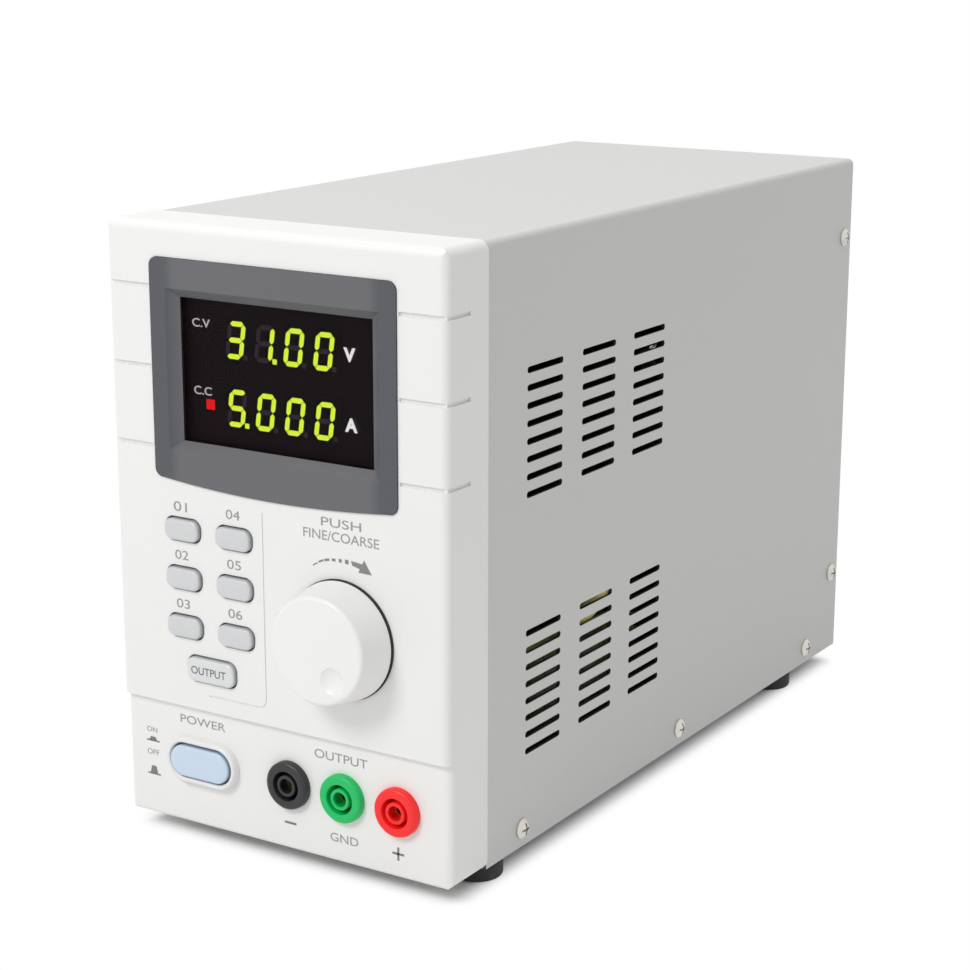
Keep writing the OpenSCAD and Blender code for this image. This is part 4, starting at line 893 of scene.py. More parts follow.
class Maker:
    """Gathers the faces of one piece, in the shared frame."""

    def __init__(self) -> None:
        """Start with no faces."""
        self.mesh = bmesh.new()

    def _merge(self, part: bmesh.types.BMesh) -> "Maker":
        """Add another mesh to the piece and free it.

        Args:
            part: The other mesh.

        Returns:
            This maker.
        """
        data = bpy.data.meshes.new("part")
        part.to_mesh(data)
        part.free()
        self.mesh.from_mesh(data)
        bpy.data.meshes.remove(data)
        return self

    def box(self, low: Triple, high: Triple, bevel: float = 0.0) -> "Maker":
        """Add a box with bevelled edges.

        Args:
            low: Its lowest corner.
            high: Its highest corner.
            bevel: Width of the bevel.

        Returns:
            This maker.
        """
        part = bmesh.new()
        size = Vector(high) - Vector(low)
        middle = (Vector(high) + Vector(low)) / 2
        place = Matrix.Translation(at(*middle)) @ Matrix.Diagonal((*(size * MM), 1.0))
        bmesh.ops.create_cube(part, size=1.0, matrix=place)
        if bevel > 0:
            bmesh.ops.bevel(
                part, geom=part.edges[:], offset=bevel * MM, segments=2, affect="EDGES", profile=0.5
            )
        return self._merge(part)

    def skin(self, rings: Sequence[Sequence[Vector]], closed: bool = False) -> "Maker":
        """Add a skin over rings of points.

        Args:
            rings: Rings with the same number of points.
            closed: Whether the last ring joins the first. Otherwise both get a face.

        Returns:
            This maker.
        """
        part = bmesh.new()
        made = [[part.verts.new(point) for point in ring] for ring in rings]
        count = len(made[0])
        pairs = list(zip(made, made[1:])) + ([(made[-1], made[0])] if closed else [])
        for one, two in pairs:
            for i in range(count):
                j = (i + 1) % count
                part.faces.new((one[i], one[j], two[j], two[i]))
        if not closed:
            part.faces.new(list(reversed(made[0])))
            part.faces.new(made[-1])
        bmesh.ops.recalc_face_normals(part, faces=part.faces[:])
        return self._merge(part)

    def stack(
        self, centre: Point, layers: Sequence[tuple[Sequence[Point], float]], closed: bool = False
    ) -> "Maker":
        """Add a skin over outlines about a centre, each at its y. Closed, they make a collar."""
        x0, z0 = centre
        return self.skin([[at(x0 + x, y, z0 + z) for x, z in flat] for flat, y in layers], closed)

    def plate(self, outline: Sequence[Point], y0: float, y1: float) -> "Maker":
        """Add a flat plate with an outline in x and z between two depths."""
        return self.stack((0.0, 0.0), [(outline, y0), (outline, y1)])

    def lathe(self, centre: Point, section: Sequence[Point]) -> "Maker":
        """Turn a closed section about an axis along y.

        Args:
            centre: Place of the axis, x and z.
            section: Points of the section, radius and y.

        Returns:
            This maker.
        """
        x0, z0 = centre
        turns = disc(1.0, FINE_STEPS)
        rings = [[at(x0 + r * c, y, z0 + r * s) for r, y in section] for c, s in turns]
        return self.skin(rings, closed=True)

    def post(self, centre: Point, layers: Sequence[Point], steps: int) -> "Maker":
        """Add an upright round body.

        Args:
            centre: Its place, x and y.
            layers: Radius and height of each ring, upwards.
            steps: Number of steps round it.

        Returns:
            This maker.
        """
        x0, y0 = centre
        turns = disc(1.0, steps)
        return self.skin([[at(x0 + r * c, y0 + r * s, z) for c, s in turns] for r, z in layers])

    def tube(self, path: Sequence[Triple], radius: float, sides: int = TUBE_SIDES) -> "Maker":
        """Add a round bar along an open path.

        Args:
            path: Its points.
            radius: Radius of the bar.
            sides: Number of its sides.

        Returns:
            This maker.
        """
        points = [at(*p) for p in path]
        last = len(points) - 1
        turns = disc(1.0, sides)
        rings = []
        for i, point in enumerate(points):
            along = points[min(i + 1, last)] - points[max(i - 1, 0)]
            turn = along.to_track_quat("Z", "Y")
            rings.append([point + turn @ Vector((c, s, 0.0)) * radius * MM for c, s in turns])
        return self.skin(rings)

    def words(
        self,
        text: str,
        low: Point,
        high: Point,
        face_y: float,
        thick: float = INK_THICK,
        rear: bool = False,
        bold: float = 0.0,
    ) -> "Maker":
        """Add raised lettering that fills a rectangle.

        Args:
            text: The characters.
            low: Lower left corner of the rectangle seen from the front, x and z.
            high: Its upper right corner.
            face_y: The surface that carries the lettering.
            thick: How far the lettering stands out.
            rear: Whether it is read from behind.
            bold: How much its strokes are widened.

        Returns:
            This maker.
        """
        curve = bpy.data.curves.new("lettering", "FONT")
        curve.body = text
        curve.extrude = 0.5
        curve.offset = bold
        holder = bpy.data.objects.new("lettering", curve)
        bpy.context.scene.collection.objects.link(holder)
        bpy.context.view_layer.update()
        solid = holder.evaluated_get(bpy.context.evaluated_depsgraph_get())
        data = bpy.data.meshes.new_from_object(solid)
        xs = [v.co.x for v in data.vertices]
        ys = [v.co.y for v in data.vertices]
        across = (high[0] - low[0]) / (max(xs) - min(xs))
        up = (high[1] - low[1]) / (max(ys) - min(ys))
        for v in data.vertices:
            x, z = (v.co.x - min(xs)) * across, low[1] + (v.co.y - min(ys)) * up
            out = thick if v.co.z > 0 else -INK_SUNK
            v.co = at(high[0] - x, face_y + out, z) if rear else at(low[0] + x, face_y - out, z)
        self.mesh.from_mesh(data)
        bpy.data.objects.remove(holder)
        bpy.data.curves.remove(curve)
        bpy.data.meshes.remove(data)
        return self

    def build(
        self,
        name: str,
        finish: Finish,
        slot: Slot,
        body: Body = Body.CASE,
        replaces: str | None = None,
        smooth: bool = True,
    ) -> None:
        """Turn the faces into an object that rides on a body.

        Args:
            name: The piece's name.
            finish: Its finish.
            slot: A material slot; not used.
            body: The body that it rides on.
            replaces: The solid that it stands for, if any.
            smooth: Whether it is shaded smooth up to its sharp edges.
        """
        data = bpy.data.meshes.new(name)
        bmesh.ops.remove_doubles(self.mesh, verts=self.mesh.verts[:], dist=WELD)
        self.mesh.to_mesh(data)
        self.mesh.free()
        if smooth:
            data.shade_smooth()
            data.set_sharp_from_angle(angle=SHARP)
        piece = bpy.data.objects.new(name, data)
        bpy.context.scene.collection.objects.link(piece)
        data.materials.append(finish.material())
        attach(piece, body.value)
        if replaces:
            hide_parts(replaces)
        LOG.info("built %s on %s", name, body.value)


def print_words(
    name: str,
    words: Sequence[Word],
    face_y: float,
    ink: Ink,
    slot: Slot = Slot.PRINT,
    rear: bool = False,
    bold: float = 0.0,
) -> None:
    """Print several words as one piece.

    Args:
        name: The piece's name.
        words: Characters and the two corners of each word.
        face_y: The surface that carries them.
        ink: Their ink.
        slot: The material slot of the piece.
        rear: Whether they are read from behind.
        bold: How much their strokes are widened.
    """
    maker = Maker()
    for text, low, high in words:
        maker.words(text, low, high, face_y, rear=rear, bold=bold)
    maker.build(name, ink, slot, smooth=False)


# Sub-assemblies


@dataclass
class FrontPanel:
    """Moulded front with its printed legends."""

    upper_y: float = -UPPER_STEP
    lower_y: float = 0.0
    upper_words: tuple[Word, ...] = (
        ("01", (-34.2, 91.4), (-29.6, 94.1)),
        ("02", (-34.2, 77.8), (-29.6, 80.4)),
        ("03", (-34.2, 63.9), (-29.6, 66.5)),
        ("04", (-16.2, 91.7), (-11.5, 94.3)),
        ("05", (-16.2, 77.8), (-11.5, 80.4)),
        ("06", (-16.2, 63.9), (-11.5, 66.5)),
        ("PUSH", (15.4, 94.5), (28.2, 96.9)),
        ("FINE/COARSE", (9.6, 90.7), (33.8, 93.3)),
    )
    lower_words: tuple[Word, ...] = (
        ("ON", (-48.0, 24.5), (-44.3, 26.0)),
        ("OFF", (-48.1, 17.7), (-43.9, 19.3)),
        ("POWER", (-35.6, 29.6), (-19.7, 32.0)),
        ("OUTPUT", (10.8, 28.8), (28.2, 31.3)),
        ("GND", (15.7, 5.8), (24.9, 8.2)),
    )
    dashes: tuple[Quad, ...] = (
        (13.3, 83.7, 1.7, 0.35),
        (15.2, 84.8, 1.7, 0.5),
        (17.1, 85.4, 1.6, 0.65),
        (19.3, 85.7, 1.2, 0.7),
        (21.4, 85.8, 0.9, 0.95),
        (23.5, 85.8, 1.1, 1.15),
    )
    arrow: tuple[Point, ...] = (
        (25.2, 85.1),
        (27.6, 84.5),
        (27.2, 83.5),
        (31.4, 83.4),
        (29.0, 87.1),
        (28.4, 85.9),
        (24.9, 86.3),
    )
    minus: Quad = (0.3, 7.4, 4.2, 8.05)
    plus_at: Point = (37.9, 6.9)
    plus_arm: float = 1.9
    plus_w: float = 0.62
    icon_x: Point = (-48.2, -43.6)
    icon_rows: tuple[Point, ...] = ((21.7, 1.0), (11.7, 2.2))
    icon_bar: float = 0.45
    hat_from: float = 0.4
    hat_half: Point = (1.35, 0.8)

    def make(self) -> None:
        """Dress the front and print its legends."""
        dress(FRONT_PLASTIC, "front_bezel")
        print_words("upper_print", self.upper_words, self.upper_y, GREY_INK)
        self.turn_arrow()
        print_words("lower_print", self.lower_words, self.lower_y, GREY_INK)
        self.lower_signs()

    def turn_arrow(self) -> None:
        """Print the dashed arrow over the knob."""
        maker = Maker()
        y0, y1 = self.upper_y - INK_THICK, self.upper_y + INK_SUNK
        last = len(self.dashes) - 1
        for i, (x, z, length, width) in enumerate(self.dashes):
            after, before = self.dashes[min(i + 1, last)], self.dashes[max(i - 1, 0)]
            along = Vector((after[0] - before[0], after[1] - before[1])).normalized()
            across = Vector((-along.y, along.x))
            outline = [
                (
                    x + along.x * s * length / 2 + across.x * t * width / 2,
                    z + along.y * s * length / 2 + across.y * t * width / 2,
                )
                for s, t in ((-1, -1), (1, -1), (1, 1), (-1, 1))
            ]
            maker.plate(outline, y0, y1)
        maker.plate(self.arrow, y0, y1)
        maker.build("turn_arrow", ARROW_INK, Slot.PRINT, smooth=False)

    def lower_signs(self) -> None:
        """Print the minus, the plus and the two signs of the mains button."""
        signs = Maker()
        y0, y1 = self.lower_y - INK_THICK, self.lower_y + INK_SUNK
        x0, z0, x1, z1 = self.minus
        signs.box((x0, y0, z0), (x1, y1, z1))
        x, z = self.plus_at
        arm, half = self.plus_arm, self.plus_w / 2
        signs.box((x - arm, y0, z - half), (x + arm, y1, z + half))
        signs.box((x - half, y0, z - arm), (x + half, y1, z + arm))
        low_x, high_x = self.icon_x
        middle = (low_x + high_x) / 2
        foot, top = self.hat_half
        for z, rise in self.icon_rows:
            signs.box((low_x, y0, z), (high_x, y1, z + self.icon_bar))
            low, high = z + self.hat_from, z + self.hat_from + rise
            sides = ((-foot, low), (foot, low), (top, high), (-top, high))
            signs.plate([(middle + x, z) for x, z in sides], y0, y1)
        signs.build("lower_signs", SIGN_INK, Slot.PRINT, smooth=False)


@dataclass
class DisplayUnit:
    """Surround, tinted pane and the lit digits behind it."""

    middle_z: float = 130.6
    row_pitch: float = 18.4
    legend_y: float = 1.81
    mask_y: Point = (2.25, 2.7)
    mask_half: Point = (33.4, 21.8)
    module_half: Point = (20.02, 7.02)
    lamp_x: float = -23.4
    lamp_half: float = 1.4
    units: tuple[Word, ...] = (
        ("V", (20.9, 138.0), (24.6, 141.7)),
        ("A", (21.1, 119.6), (25.0, 123.3)),
    )
    unit_bold: float = 0.04
    modes: tuple[Word, ...] = (
        ("C.V", (-28.6, 142.3), (-22.6, 144.6)),
        ("C.C", (-28.6, 123.9), (-22.6, 126.2)),
    )
    mode_bold: float = 0.01

    def make(self) -> None:
        """Dress the display and add its mask and legends."""
        dress(SURROUND_PLASTIC, "display_surround")
        dress(PANE, "display_window")
        dress(FACE, "display_modules")
        dress(DIGITS, "lit_segments")
        dress(LAMPS, "status_lamps")
        dress(BOARD_UPRIGHT, "control_board")
        self.mask()
        y = self.legend_y
        print_words("window_legend", self.units, y, PAINTED_GLOW_INK, Slot.WINDOW, bold=self.unit_bold)
        print_words("window_small_legend", self.modes, y, DIM_PAINTED_GLOW_INK, Slot.WINDOW, bold=self.mode_bold)

    def mask(self) -> None:
        """Add the dark film round the modules and lamps, so that the board doesn't show."""
        half_x, half_z = self.mask_half
        module_x, module_z = self.module_half
        lamp0, lamp1 = self.lamp_x - self.lamp_half, self.lamp_x + self.lamp_half
        low, high = -self.row_pitch / 2, self.row_pitch / 2
        strips = [
            (-half_x, -half_z, half_x, low - module_z),
            (-half_x, low + module_z, half_x, high - module_z),
            (-half_x, high + module_z, half_x, half_z),
        ]
        for row in (low, high):
            strips += [
                (module_x, row - module_z, half_x, row + module_z),
                (-half_x, row - module_z, lamp0, row + module_z),
                (lamp1, row - module_z, -module_x, row + module_z),
                (lamp0, row - module_z, lamp1, row - self.lamp_half),
                (lamp0, row + self.lamp_half, lamp1, row + module_z),
            ]
        y0, y1 = self.mask_y
        maker = Maker()
        for x0, z0, x1, z1 in strips:
            maker.box((x0, y0, self.middle_z + z0), (x1, y1, self.middle_z + z1))
        maker.build("display_mask", MASK_FILM, Slot.DARK, smooth=False)


@dataclass
class KeyField:
    """Six keys and the output key, as crowned caps."""

    columns: tuple[tuple[str, float], ...] = (("left", -31.1), ("right", -13.5))
    rows: tuple[tuple[str, float], ...] = (("bottom", 58.8), ("middle", 72.6), ("top", 86.4))
    size: Point = (11.6, 6.0)
    corner: float = 2.4
    least_corner: float = 0.35
    corner_points: int = 12
    output_size: Point = (16.2, 6.9)
    output_at: Point = (-22.3, 47.3)
    output_word: Word = ("OUTPUT", (-28.6, 46.2), (-16.6, 48.4))
    word_thick: float = 0.04
    face_y: float = -3.1
    profile: tuple[Point, ...] = (
        (1.1, 2.7),
        (1.1, 1.7),
        (0.0, 1.7),
        (0.0, -2.3),
        (-0.05, -2.52),
        (-0.18, -2.72),
        (-0.4, -2.87),
        (-0.8, -2.98),
        (-1.4, -3.06),
        (-2.2, -3.1),
    )
    stem_r: float = 1.6
    stem_y: Point = (2.6, 6.7)

    def make(self) -> None:
        """Build the caps and print the output key's word."""
        for column, x in self.columns:
            for row, z in self.rows:
                self.cap((x, z), self.size, f"key_{column}_{row}", KEY_PLASTIC)
        self.cap(self.output_at, self.output_size, "output_key", OUTPUT_PLASTIC)
        word = Maker().words(*self.output_word, self.face_y, self.word_thick)
        word.build("output_key_print", DARK_INK, Slot.PRINT, Body.OUTPUT_KEY, smooth=False)
        dress(DARK_PLASTIC, "key_switches")

    def cap(self, centre: Point, size: Point, node: str, finish: Finish) -> None:
        """Build one cap with its flange and stem in place of a key's solid.

        Args:
            centre: Middle of the key, x and z.
            size: Width and height.
            node: The key's solid.
            finish: Its plastic.
        """
        layers = []
        for grow, y in self.profile:
            w, h = size[0] + 2 * grow, size[1] + 2 * grow
            corner = max(self.corner + grow, self.least_corner)
            layers.append((round_outline(w, h, corner, self.corner_points), y))
        stem = [(disc(self.stem_r, ROD_STEPS), y) for y in self.stem_y]
        maker = Maker().stack(centre, layers).stack(centre, stem)
        maker.build(f"{node}_cap", finish, Slot.KEY, Body(f"{node}_body"), node)


@dataclass
class MainsButton:
    """Mains push button in its rounded collar, with the switch behind it."""

    centre: Point = (-27.3, 19.4)
    size: Point = (20.4, 9.1)
    collar: tuple[Point, ...] = (
        (2.0, 0.0),
        (2.0, -1.3),
        (1.92, -1.8),
        (1.7, -2.18),
        (1.38, -2.38),
        (1.12, -2.4),
        (0.82, -2.3),
        (0.6, -2.05),
        (0.5, -1.6),
        (0.5, 4.5),
        (1.6, 4.5),
        (1.6, 0.0),
    )
    cap: tuple[Point, ...] = (
        (0.0, 3.0),
        (0.0, -2.3),
        (-0.08, -2.58),
        (-0.28, -2.8),
        (-0.65, -2.93),
        (-1.4, -2.98),
        (-2.6, -3.0),
    )
    rod_r: float = 2.2
    rod_y: Point = (2.9, 24.3)

    def make(self) -> None:
        """Build the collar and cap and dress the switch."""
        collar, cap = (
            [(stadium(*self.size, grow), y) for grow, y in profile]
            for profile in (self.collar, self.cap)
        )
        maker = Maker().stack(self.centre, collar, closed=True)
        maker.build("mains_collar", COLLAR_PLASTIC, Slot.WHITE, replaces="power_collar")
        rod = [(disc(self.rod_r, ROD_STEPS), y) for y in self.rod_y]
        maker = Maker().stack(self.centre, cap).stack(self.centre, rod)
        maker.build("mains_cap", BUTTON_PLASTIC, Slot.BUTTON, Body.BUTTON, "power_button")
        dress(DARK_PLASTIC, "power_switch")


@dataclass
class KnobUnit:
    """Control knob over a dark ring of painted shade, its shaft and its encoder."""

    centre: Point = (21.6, 64.2)
    # Section of the ring of painted shade, radius and y.
    shade_ring: tuple[Point, ...] = (
        (11.0, -1.6),
        (11.0, -1.95),
        (11.15, -2.0),
        (16.4, -2.0),
        (16.55, -1.95),
        (16.55, -1.6),
    )

    def make(self) -> None:
        """Lay the dark ring of painted shade and dress the knob and what turns and carries it."""
        Maker().lathe(self.centre, self.shade_ring).build("knob_shade_ring", KNOB_SHADE, Slot.DARK)
        dress(KNOB_PLASTIC, "control_knob")
        dress(EXTRUSION, "encoder_shaft", "encoder_plunger")
        dress(STEEL, "encoder_body", "encoder_nut")


@dataclass
class SocketRow:
    """Three safety sockets with rounded flanges and deep guard grooves."""

    height: float = 19.1
    places: tuple[tuple[str, float, Finish, Slot], ...] = (
        ("negative", 2.4, BLACK_SOCKET, Slot.BLACK),
        ("ground", 20.3, GREEN_SOCKET, Slot.GREEN),
        ("positive", 38.2, RED_SOCKET, Slot.RED),
    )
    section: tuple[Point, ...] = (
        (2.47, 22.0),
        (5.8, 22.0),
        (5.8, 0.0),
        (6.8, 0.0),
        (6.8, -1.35),
        (6.7, -1.75),
        (6.45, -2.05),
        (6.1, -2.25),
        (5.75, -2.3),
        (4.45, -2.3),
        (4.25, -2.22),
        (4.17, -2.0),
        (4.17, 8.0),
        (3.05, 8.0),
        (3.05, -1.75),
        (2.97, -2.0),
        (2.8, -2.1),
        (2.3, -2.1),
        (2.12, -2.02),
        (2.06, -1.8),
        (2.06, -1.3),
        (2.47, -1.0),
    )

    def make(self) -> None:
        """Build the shells and dress contacts and nuts."""
        for name, x, finish, slot in self.places:
            shell = Maker().lathe((x, self.height), self.section)
            shell.build(f"socket_shell_{name}", finish, slot, replaces=f"socket_{name}")
        dress(BRASS, "socket_contacts")
        dress(STEEL, "socket_nuts")


@dataclass
class SteelCase:
    """Painted cover over a zinc-plated chassis, with screws and feet."""

    corners: tuple[str, ...] = ("front_left", "front_right", "rear_left", "rear_right")

    def make(self) -> None:
        """Dress the sheets, screws and feet."""
        dress(PAINT, "top_cover", "rear_panel")
        dress(ZINC, "base_chassis", "front_plate")
        dress(NICKEL, "cover_screws", "chassis_screws", "rear_screws", "bezel_screws")
        dress(FOOT_RUBBER, *(f"foot_{corner}" for corner in self.corners))


@dataclass
class RearFittings:
    """Mains inlet with its fuse drawer, and the voltage selector."""

    panel_y: float = 246.3
    numbers: tuple[Word, ...] = (
        ("115", (20.6, 39.2), (26.6, 41.8)),
        ("230", (29.4, 39.2), (35.4, 41.8)),
    )
    sleeve_ends: tuple[Point, ...] = ((-31.0, 34.4), (-17.0, 34.4))
    sleeve_r: float = 2.5
    sleeve_ys: Triple = (217.6, 214.0, 211.5)
    neck_r: float = 1.8
    neck_ys: Point = (211.6, 209.6)

    def make(self) -> None:
        """Dress the fittings, print the numbers and sleeve the blades."""
        dress(INLET_PLASTIC, "inlet_body", "fuse_drawer")
        dress(BLADE, "inlet_pins")
        dress(FUSE_GLASS, "fuse")
        dress(DARK_PLASTIC, "selector_body")
        dress(SLIDER_PLASTIC, "selector_slider")
        print_words("selector_print", self.numbers, self.panel_y, DARK_INK, rear=True)
        sleeves = Maker()
        for x, z in self.sleeve_ends:
            sleeves.tube([(x, y, z) for y in self.sleeve_ys], self.sleeve_r)
            sleeves.tube([(x, y, z) for y in self.neck_ys], self.neck_r)
        sleeves.build("blade_sleeves", BLADE_SLEEVE, Slot.RED)


@dataclass
class FanUnit:
    """Fan behind its wire guard, with a plain disc on the hub."""

    centre: Point = (0.0, 118.0)
    hub_back_y: float = 241.1
    disc_layers: tuple[Point, ...] = ((10.6, -0.02), (10.6, 0.06), (10.54, 0.1))
    disc_steps: int = 64

    def make(self) -> None:
        """Dress the fan and add the disc."""
        dress(FAN_PLASTIC, "fan_frame", "fan_rotor")
        dress(STEEL, "fan_guard")
        layers = [(disc(r, self.disc_steps), self.hub_back_y + y) for r, y in self.disc_layers]
        Maker().stack(self.centre, layers).build("hub_disc", FOIL, Slot.STEEL, Body.FAN)


@dataclass
class PowerStage:
    """Transformer, main board and the parts soldered to it."""

    board_z: float = 9.6
    relay: Span = ((27.0, 146.0, 9.6), (42.0, 160.0, 25.0))
    relay_bevel: float = 0.6
    block: tuple[Span, ...] = (
        ((14.5, 136.6, 9.6), (37.5, 143.4, 16.1)),
        ((14.5, 138.4, 15.9), (37.5, 143.4, 18.2)),
    )
    block_bevel: float = 0.3
    screw_xs: tuple[float, ...] = (18.0, 22.0, 26.0, 30.0, 34.0)
    screw_y: float = 141.8
    screw: tuple[Point, ...] = ((1.2, 18.1), (1.2, 18.5), (1.0, 18.6))
    screw_steps: int = 20
    resistors: tuple[Triple, ...] = (
        (-40.0, 141.0, 8.0),
        (-40.0, 145.0, 8.0),
        (-26.0, 139.5, 8.0),
        (40.5, 205.0, -8.0),
        (18.0, 205.0, -8.0),
    )
    resistor_rise: float = 2.0
    resistor_r: float = 1.25
    resistor_sides: int = 16
    resistor_inset: float = 0.15
    leg_r: float = 0.3
    leg_sides: int = 8
    leg_inset: float = 0.06
    leg_drop: float = 0.4
    can_at: tuple[Point, ...] = ((-41.0, 205.0), (-33.5, 205.0), (-26.0, 205.0), (33.0, 205.0))
    can: tuple[Point, ...] = (
        (2.9, 0.0),
        (3.1, 0.5),
        (2.9, 1.0),
        (3.1, 1.4),
        (3.1, 11.0),
        (2.8, 11.5),
        (0.4, 11.5),
    )
    can_steps: int = 28
    lead_xs: tuple[float, ...] = (-30.0, -10.0, 10.0, 30.0)
    lead_gap: float = 5.0
    lead_y: float = 163.8
    lead_bends: tuple[Triple, ...] = ((1.0, 0.0, 54.8), (0.9, -0.4, 32.0), (0.6, -0.8, 9.4))
    lead_r: float = 0.65
    lead_sides: int = 10
    sleeve_path: tuple[Triple, ...] = (
        (40.0, 62.0, 46.0),
        (46.5, 66.0, 50.5),
        (49.9, 71.0, 53.8),
        (50.4, 77.0, 56.6),
        (50.4, 83.0, 59.4),
        (50.4, 88.5, 61.6),
        (49.4, 93.5, 62.2),
        (46.4, 98.5, 59.6),
        (44.0, 104.0, 55.0),
        (41.6, 112.0, 51.0),
        (39.0, 120.0, 43.5),
        (37.0, 126.5, 35.0),
    )
    sleeve_r: float = 2.9
    tail_path: tuple[Triple, ...] = (
        (0.0, 125.0, 37.0),
        (-0.3, 131.0, 27.5),
        (-1.0, 136.0, 23.5),
        (-1.2, 138.8, 21.0),
        (-1.2, 139.4, 18.0),
    )
    tail_xs: Point = (35.2, 38.0)
    tail_r: float = 1.1
    tail_sides: int = 12

    def make(self) -> None:
        """Dress the stage and add the smaller parts."""
        dress(TAPE, "transformer")
        dress(PAD_RUBBER, "transformer_pads")
        dress(STEEL, "transformer_bolt")
        dress(BOARD_LEVEL, "main_board")
        dress(BRASS, "board_standoffs")
        dress(ANODISED, "heat_sink")
        dress(CHIP_RESIN, "power_semiconductors")
        dress(SLEEVE, "filter_capacitors")
        relay = Maker().box(*self.relay, self.relay_bevel)
        relay.build("relay_case", RELAY_PLASTIC, Slot.BLACK)
        self.terminal_block()
        self.resistor_row()
        cans = Maker()
        for place in self.can_at:
            cans.post(place, [(r, self.board_z + z) for r, z in self.can], self.can_steps)
        cans.build("small_capacitors", DARK_PLASTIC, Slot.DARK)
        self.transistor_leads()
        self.winding_leads()

    def terminal_block(self) -> None:
        """Add the block that the output and mains wires end in, with its screws."""
        block = Maker()
        for low, high in self.block:
            block.box(low, high, self.block_bevel)
        block.build("terminal_block", GREEN_SOCKET, Slot.GREEN)
        screws = Maker()
        for x in self.screw_xs:
            screws.post((x, self.screw_y), self.screw, self.screw_steps)
        screws.build("terminal_screws", NICKEL, Slot.STEEL)

    def resistor_row(self) -> None:
        """Add the resistors on their bent legs."""
        bodies, wires = Maker(), Maker()
        low, z = self.board_z, self.board_z + self.resistor_rise
        for x, y, length in self.resistors:
            end = x + length
            inset, bend = length * self.resistor_inset, length * self.leg_inset
            body = ((x + inset, y, z), (end - inset, y, z))
            bodies.tube(body, self.resistor_r, self.resistor_sides)
            legs = (
                (x, y, low),
                (x, y, z - self.leg_drop),
                (x + bend, y, z),
                (end - bend, y, z),
                (end, y, z - self.leg_drop),
                (end, y, low),
            )
            wires.tube(legs, self.leg_r, self.leg_sides)
        bodies.build("resistor_bodies", RESISTOR_LACQUER, Slot.BRASS)
        wires.build("resistor_wires", STEEL, Slot.STEEL)

    def transistor_leads(self) -> None:
        """Add the insulated leads from the power transistors down to the board."""
        maker = Maker()
        for x in self.lead_xs:
            for gap in (-self.lead_gap, 0.0, self.lead_gap):
                path = [(x + gap * share, self.lead_y + y, z) for share, y, z in self.lead_bends]
                maker.tube(path, self.lead_r, self.lead_sides)
        maker.build("transistor_leads", RED_FLEX, Slot.RED)

    def winding_leads(self) -> None:
        """Add the winding's leads, which loop along the vented side in a yellow sleeve."""
        sleeve = Maker().tube(self.sleeve_path, self.sleeve_r)
        sleeve.build("winding_sleeve", YELLOW_FLEX, Slot.RED)
        tails = Maker()
        for start in self.tail_xs:
            path = [(start + x, y, z) for x, y, z in self.tail_path]
            tails.tube(path, self.tail_r, self.tail_sides)
        tails.build("winding_tails", RED_FLEX, Slot.RED)


@dataclass
class Wiring:
    """Flat cable with its headers, wires and the ties round them."""

    headers: tuple[Span, ...] = (
        ((-9.6, 11.0, 96.8), (9.6, 14.6, 103.2)),
        ((-9.6, 136.6, 9.6), (9.6, 142.4, 16.4)),
    )
    header_bevel: float = 0.4
    tie_ys: Triple = (149.0, 167.0, 185.0)
    tie_at: Point = (-49.55, 14.53)
    tie_size: Point = (2.3, 5.4)
    tie_corner: float = 1.1
    tie_corner_points: int = 8
    tie_section: tuple[Point, ...] = ((0.0, 0.0), (0.0, 2.4), (0.7, 2.4), (0.7, 0.0))
    tie_head: Span = ((1.5, -0.5, -1.6), (4.2, 2.9, 1.6))
    head_bevel: float = 0.3

    def make(self) -> None:
        """Dress cable and wires, add headers and ties."""
        dress(RIBBON, "ribbon_cable")
        dress(BROWN_FLEX, "mains_wires")
        dress(RED_FLEX, "output_wires")
        headers = Maker()
        for low, high in self.headers:
            headers.box(low, high, self.header_bevel)
        headers.build("cable_headers", HEADER_PLASTIC, Slot.WHITE)
        ties = Maker()
        x0, z0 = self.tie_at
        w, h = self.tie_size
        for y0 in self.tie_ys:
            strap = []
            for grow, y in self.tie_section:
                corner = (self.tie_corner + grow, self.tie_corner_points)
                strap.append((round_outline(w + 2 * grow, h + 2 * grow, *corner), y0 + y))
            ties.stack(self.tie_at, strap, closed=True)
            low, high = ((x0 + x, y0 + y, z0 + z) for x, y, z in self.tie_head)
            ties.box(low, high, self.head_bevel)
        ties.build("cable_ties", HEADER_PLASTIC, Slot.WHITE)


# Studio


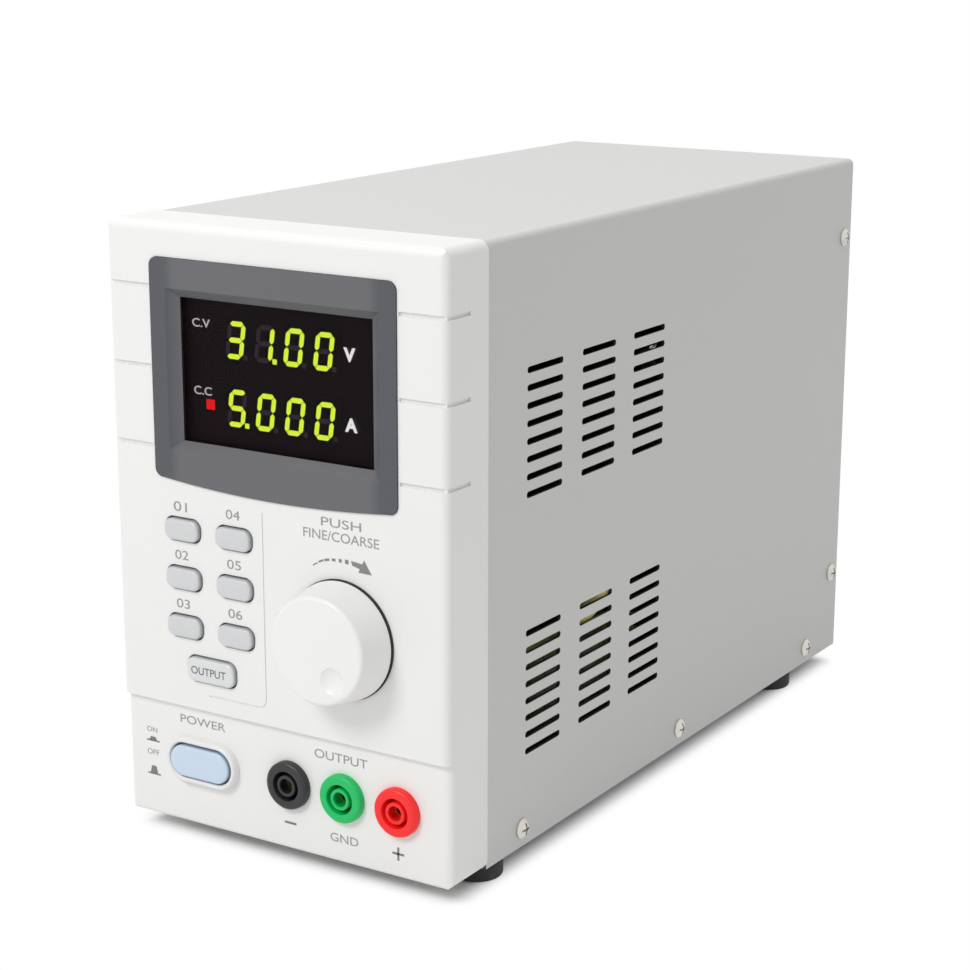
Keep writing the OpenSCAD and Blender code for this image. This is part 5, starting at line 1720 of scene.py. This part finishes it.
@dataclass
class Studio:
    """Floor, light and camera of the photograph. All sizes are in metres."""

    floor_half: float = 6.0
    floor_thick: float = 0.001
    footprint: Quad = (-0.00125, 0.007, 0.04875, 0.115)
    fade: Point = (0.0, 0.01)
    paper: Colour = (0.9, 0.9, 0.9)
    world_level: float = 0.535
    reach: float = 1.3
    aim: Triple = (0.0, 0.0, 0.09)
    lamps: tuple[tuple[str, Triple, float, float], ...] = (
        ("key_light", (-0.23, -1.0, 0.84), 6.2, 0.42),
        ("top_light", (0.0, 0.1, 1.0), 4.2, 0.7),
    )
    camera_at: Triple = (0.355309, -0.57986, 0.256973)
    yaw: float = 0.562
    pitch: float = 0.250
    roll: float = 0.002
    lens: float = 84.157
    sensor: float = 36.0
    near: float = 0.01

    def make(self) -> None:
        """Set camera, floor, world, lamps and view transform."""
        self.camera()
        self.floor()
        self.world()
        for name, direction, power, size in self.lamps:
            self.lamp(name, direction, power, size)
        bpy.context.scene.view_settings.view_transform = "Standard"

    @staticmethod
    def hang(name: str, data: bpy.types.ID) -> bpy.types.Object:
        """Put camera, lamp or mesh data into the scene.

        Args:
            name: The object's name.
            data: What it shows.

        Returns:
            The object.
        """
        thing = bpy.data.objects.new(name, data)
        bpy.context.scene.collection.objects.link(thing)
        return thing

    def camera(self) -> None:
        """Place the camera where the photograph was taken."""
        data = bpy.data.cameras.new("camera")
        data.lens = self.lens
        data.sensor_width = self.sensor
        data.clip_start = self.near
        level = math.cos(self.pitch)
        back = Vector(
            (math.sin(self.yaw) * level, -math.cos(self.yaw) * level, math.sin(self.pitch))
        )
        right = Vector((math.cos(self.yaw), math.sin(self.yaw), 0.0))
        up = back.cross(right)
        turned = math.cos(self.roll) * right + math.sin(self.roll) * up
        upright = math.cos(self.roll) * up - math.sin(self.roll) * right
        columns = Matrix((turned, upright, back)).transposed().to_4x4()
        holder = self.hang("camera", data)
        holder.matrix_world = Matrix.Translation(Vector(self.camera_at)) @ columns
        bpy.context.scene.camera = holder

    @staticmethod
    def seen(graph: Graph) -> Sock:
        """Tell rays that show the background from those that light the object.

        Args:
            graph: The material or world.

        Returns:
            1 for rays from the camera, from gloss and through glass, and 0 for others.
        """
        camera, glossy, through = (
            graph.add("ShaderNodeLightPath", output=f"Is {kind} Ray")
            for kind in ("Camera", "Glossy", "Transmission")
        )
        return camera.highest(glossy).highest(through)

    def floor(self) -> None:
        """Lay a floor that takes the object's shadow and is plain white away from it."""
        part = Maker()
        reach, thick, z = self.floor_half / MM, self.floor_thick / MM, -CASE_Z / MM
        ring = ((-reach, -reach), (reach, -reach), (reach, reach), (-reach, reach))
        part.skin([[at(x, y, z - thick) for x, y in ring], [at(x, y, z) for x, y in ring]])
        data = bpy.data.meshes.new("floor")
        part.mesh.to_mesh(data)
        part.mesh.free()
        graph = Graph("studio_floor")
        x0, y0, half_x, half_y = self.footprint
        out_x = (abs(graph.axis(0) - x0) - half_x).highest(0.0)
        out_y = (abs(graph.axis(1) - y0) - half_y).highest(0.0)
        away = (out_x * out_x + out_y * out_y).root().softly(*self.fade)
        paper = graph.add("ShaderNodeBsdfDiffuse", None, {"Color": self.paper})
        white = graph.add("ShaderNodeEmission", None, {"Color": WHITE, "Strength": 1.0})
        shares = {0: self.seen(graph) * away, 1: paper, 2: white}
        graph.finish(graph.add("ShaderNodeMixShader", None, shares))
        data.materials.append(graph.material)
        floor = self.hang("floor", data)

    def world(self) -> None:
        """Light the object evenly from all round, before a white background."""
        world = bpy.data.worlds.new("studio")
        bpy.context.scene.world = world
        graph = Graph("studio", world)
        level = self.seen(graph) * (1.0 - self.world_level) + self.world_level
        sky = graph.add("ShaderNodeBackground", None, {"Color": WHITE, "Strength": level})
        graph.finish(sky)

    def lamp(self, name: str, direction: Triple, power: float, size: float) -> None:
        """Hang one square soft box.

        Args:
            name: The lamp's name.
            direction: From the object to the lamp.
            power: Watts.
            size: Its side.
        """
        data = bpy.data.lights.new(name, "AREA")
        data.energy = power
        data.size = size
        lamp = self.hang(name, data)
        away = Vector(direction).normalized()
        lamp.location = Vector(self.aim) + away * self.reach
        lamp.rotation_euler = away.to_track_quat("Z", "Y").to_euler()


def main() -> None:
    """Build and dress every sub-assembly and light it."""
    logging.basicConfig(level=logging.INFO, format="%(name)s: %(message)s")
    Studio().make()
    assemblies = (
        FrontPanel(),
        DisplayUnit(),
        KeyField(),
        MainsButton(),
        KnobUnit(),
        SocketRow(),
        SteelCase(),
        RearFittings(),
        FanUnit(),
        PowerStage(),
        Wiring(),
    )
    for assembly in assemblies:
        assembly.make()
        LOG.info("finished %s", type(assembly).__name__)


if __name__ == "__main__":
    main()
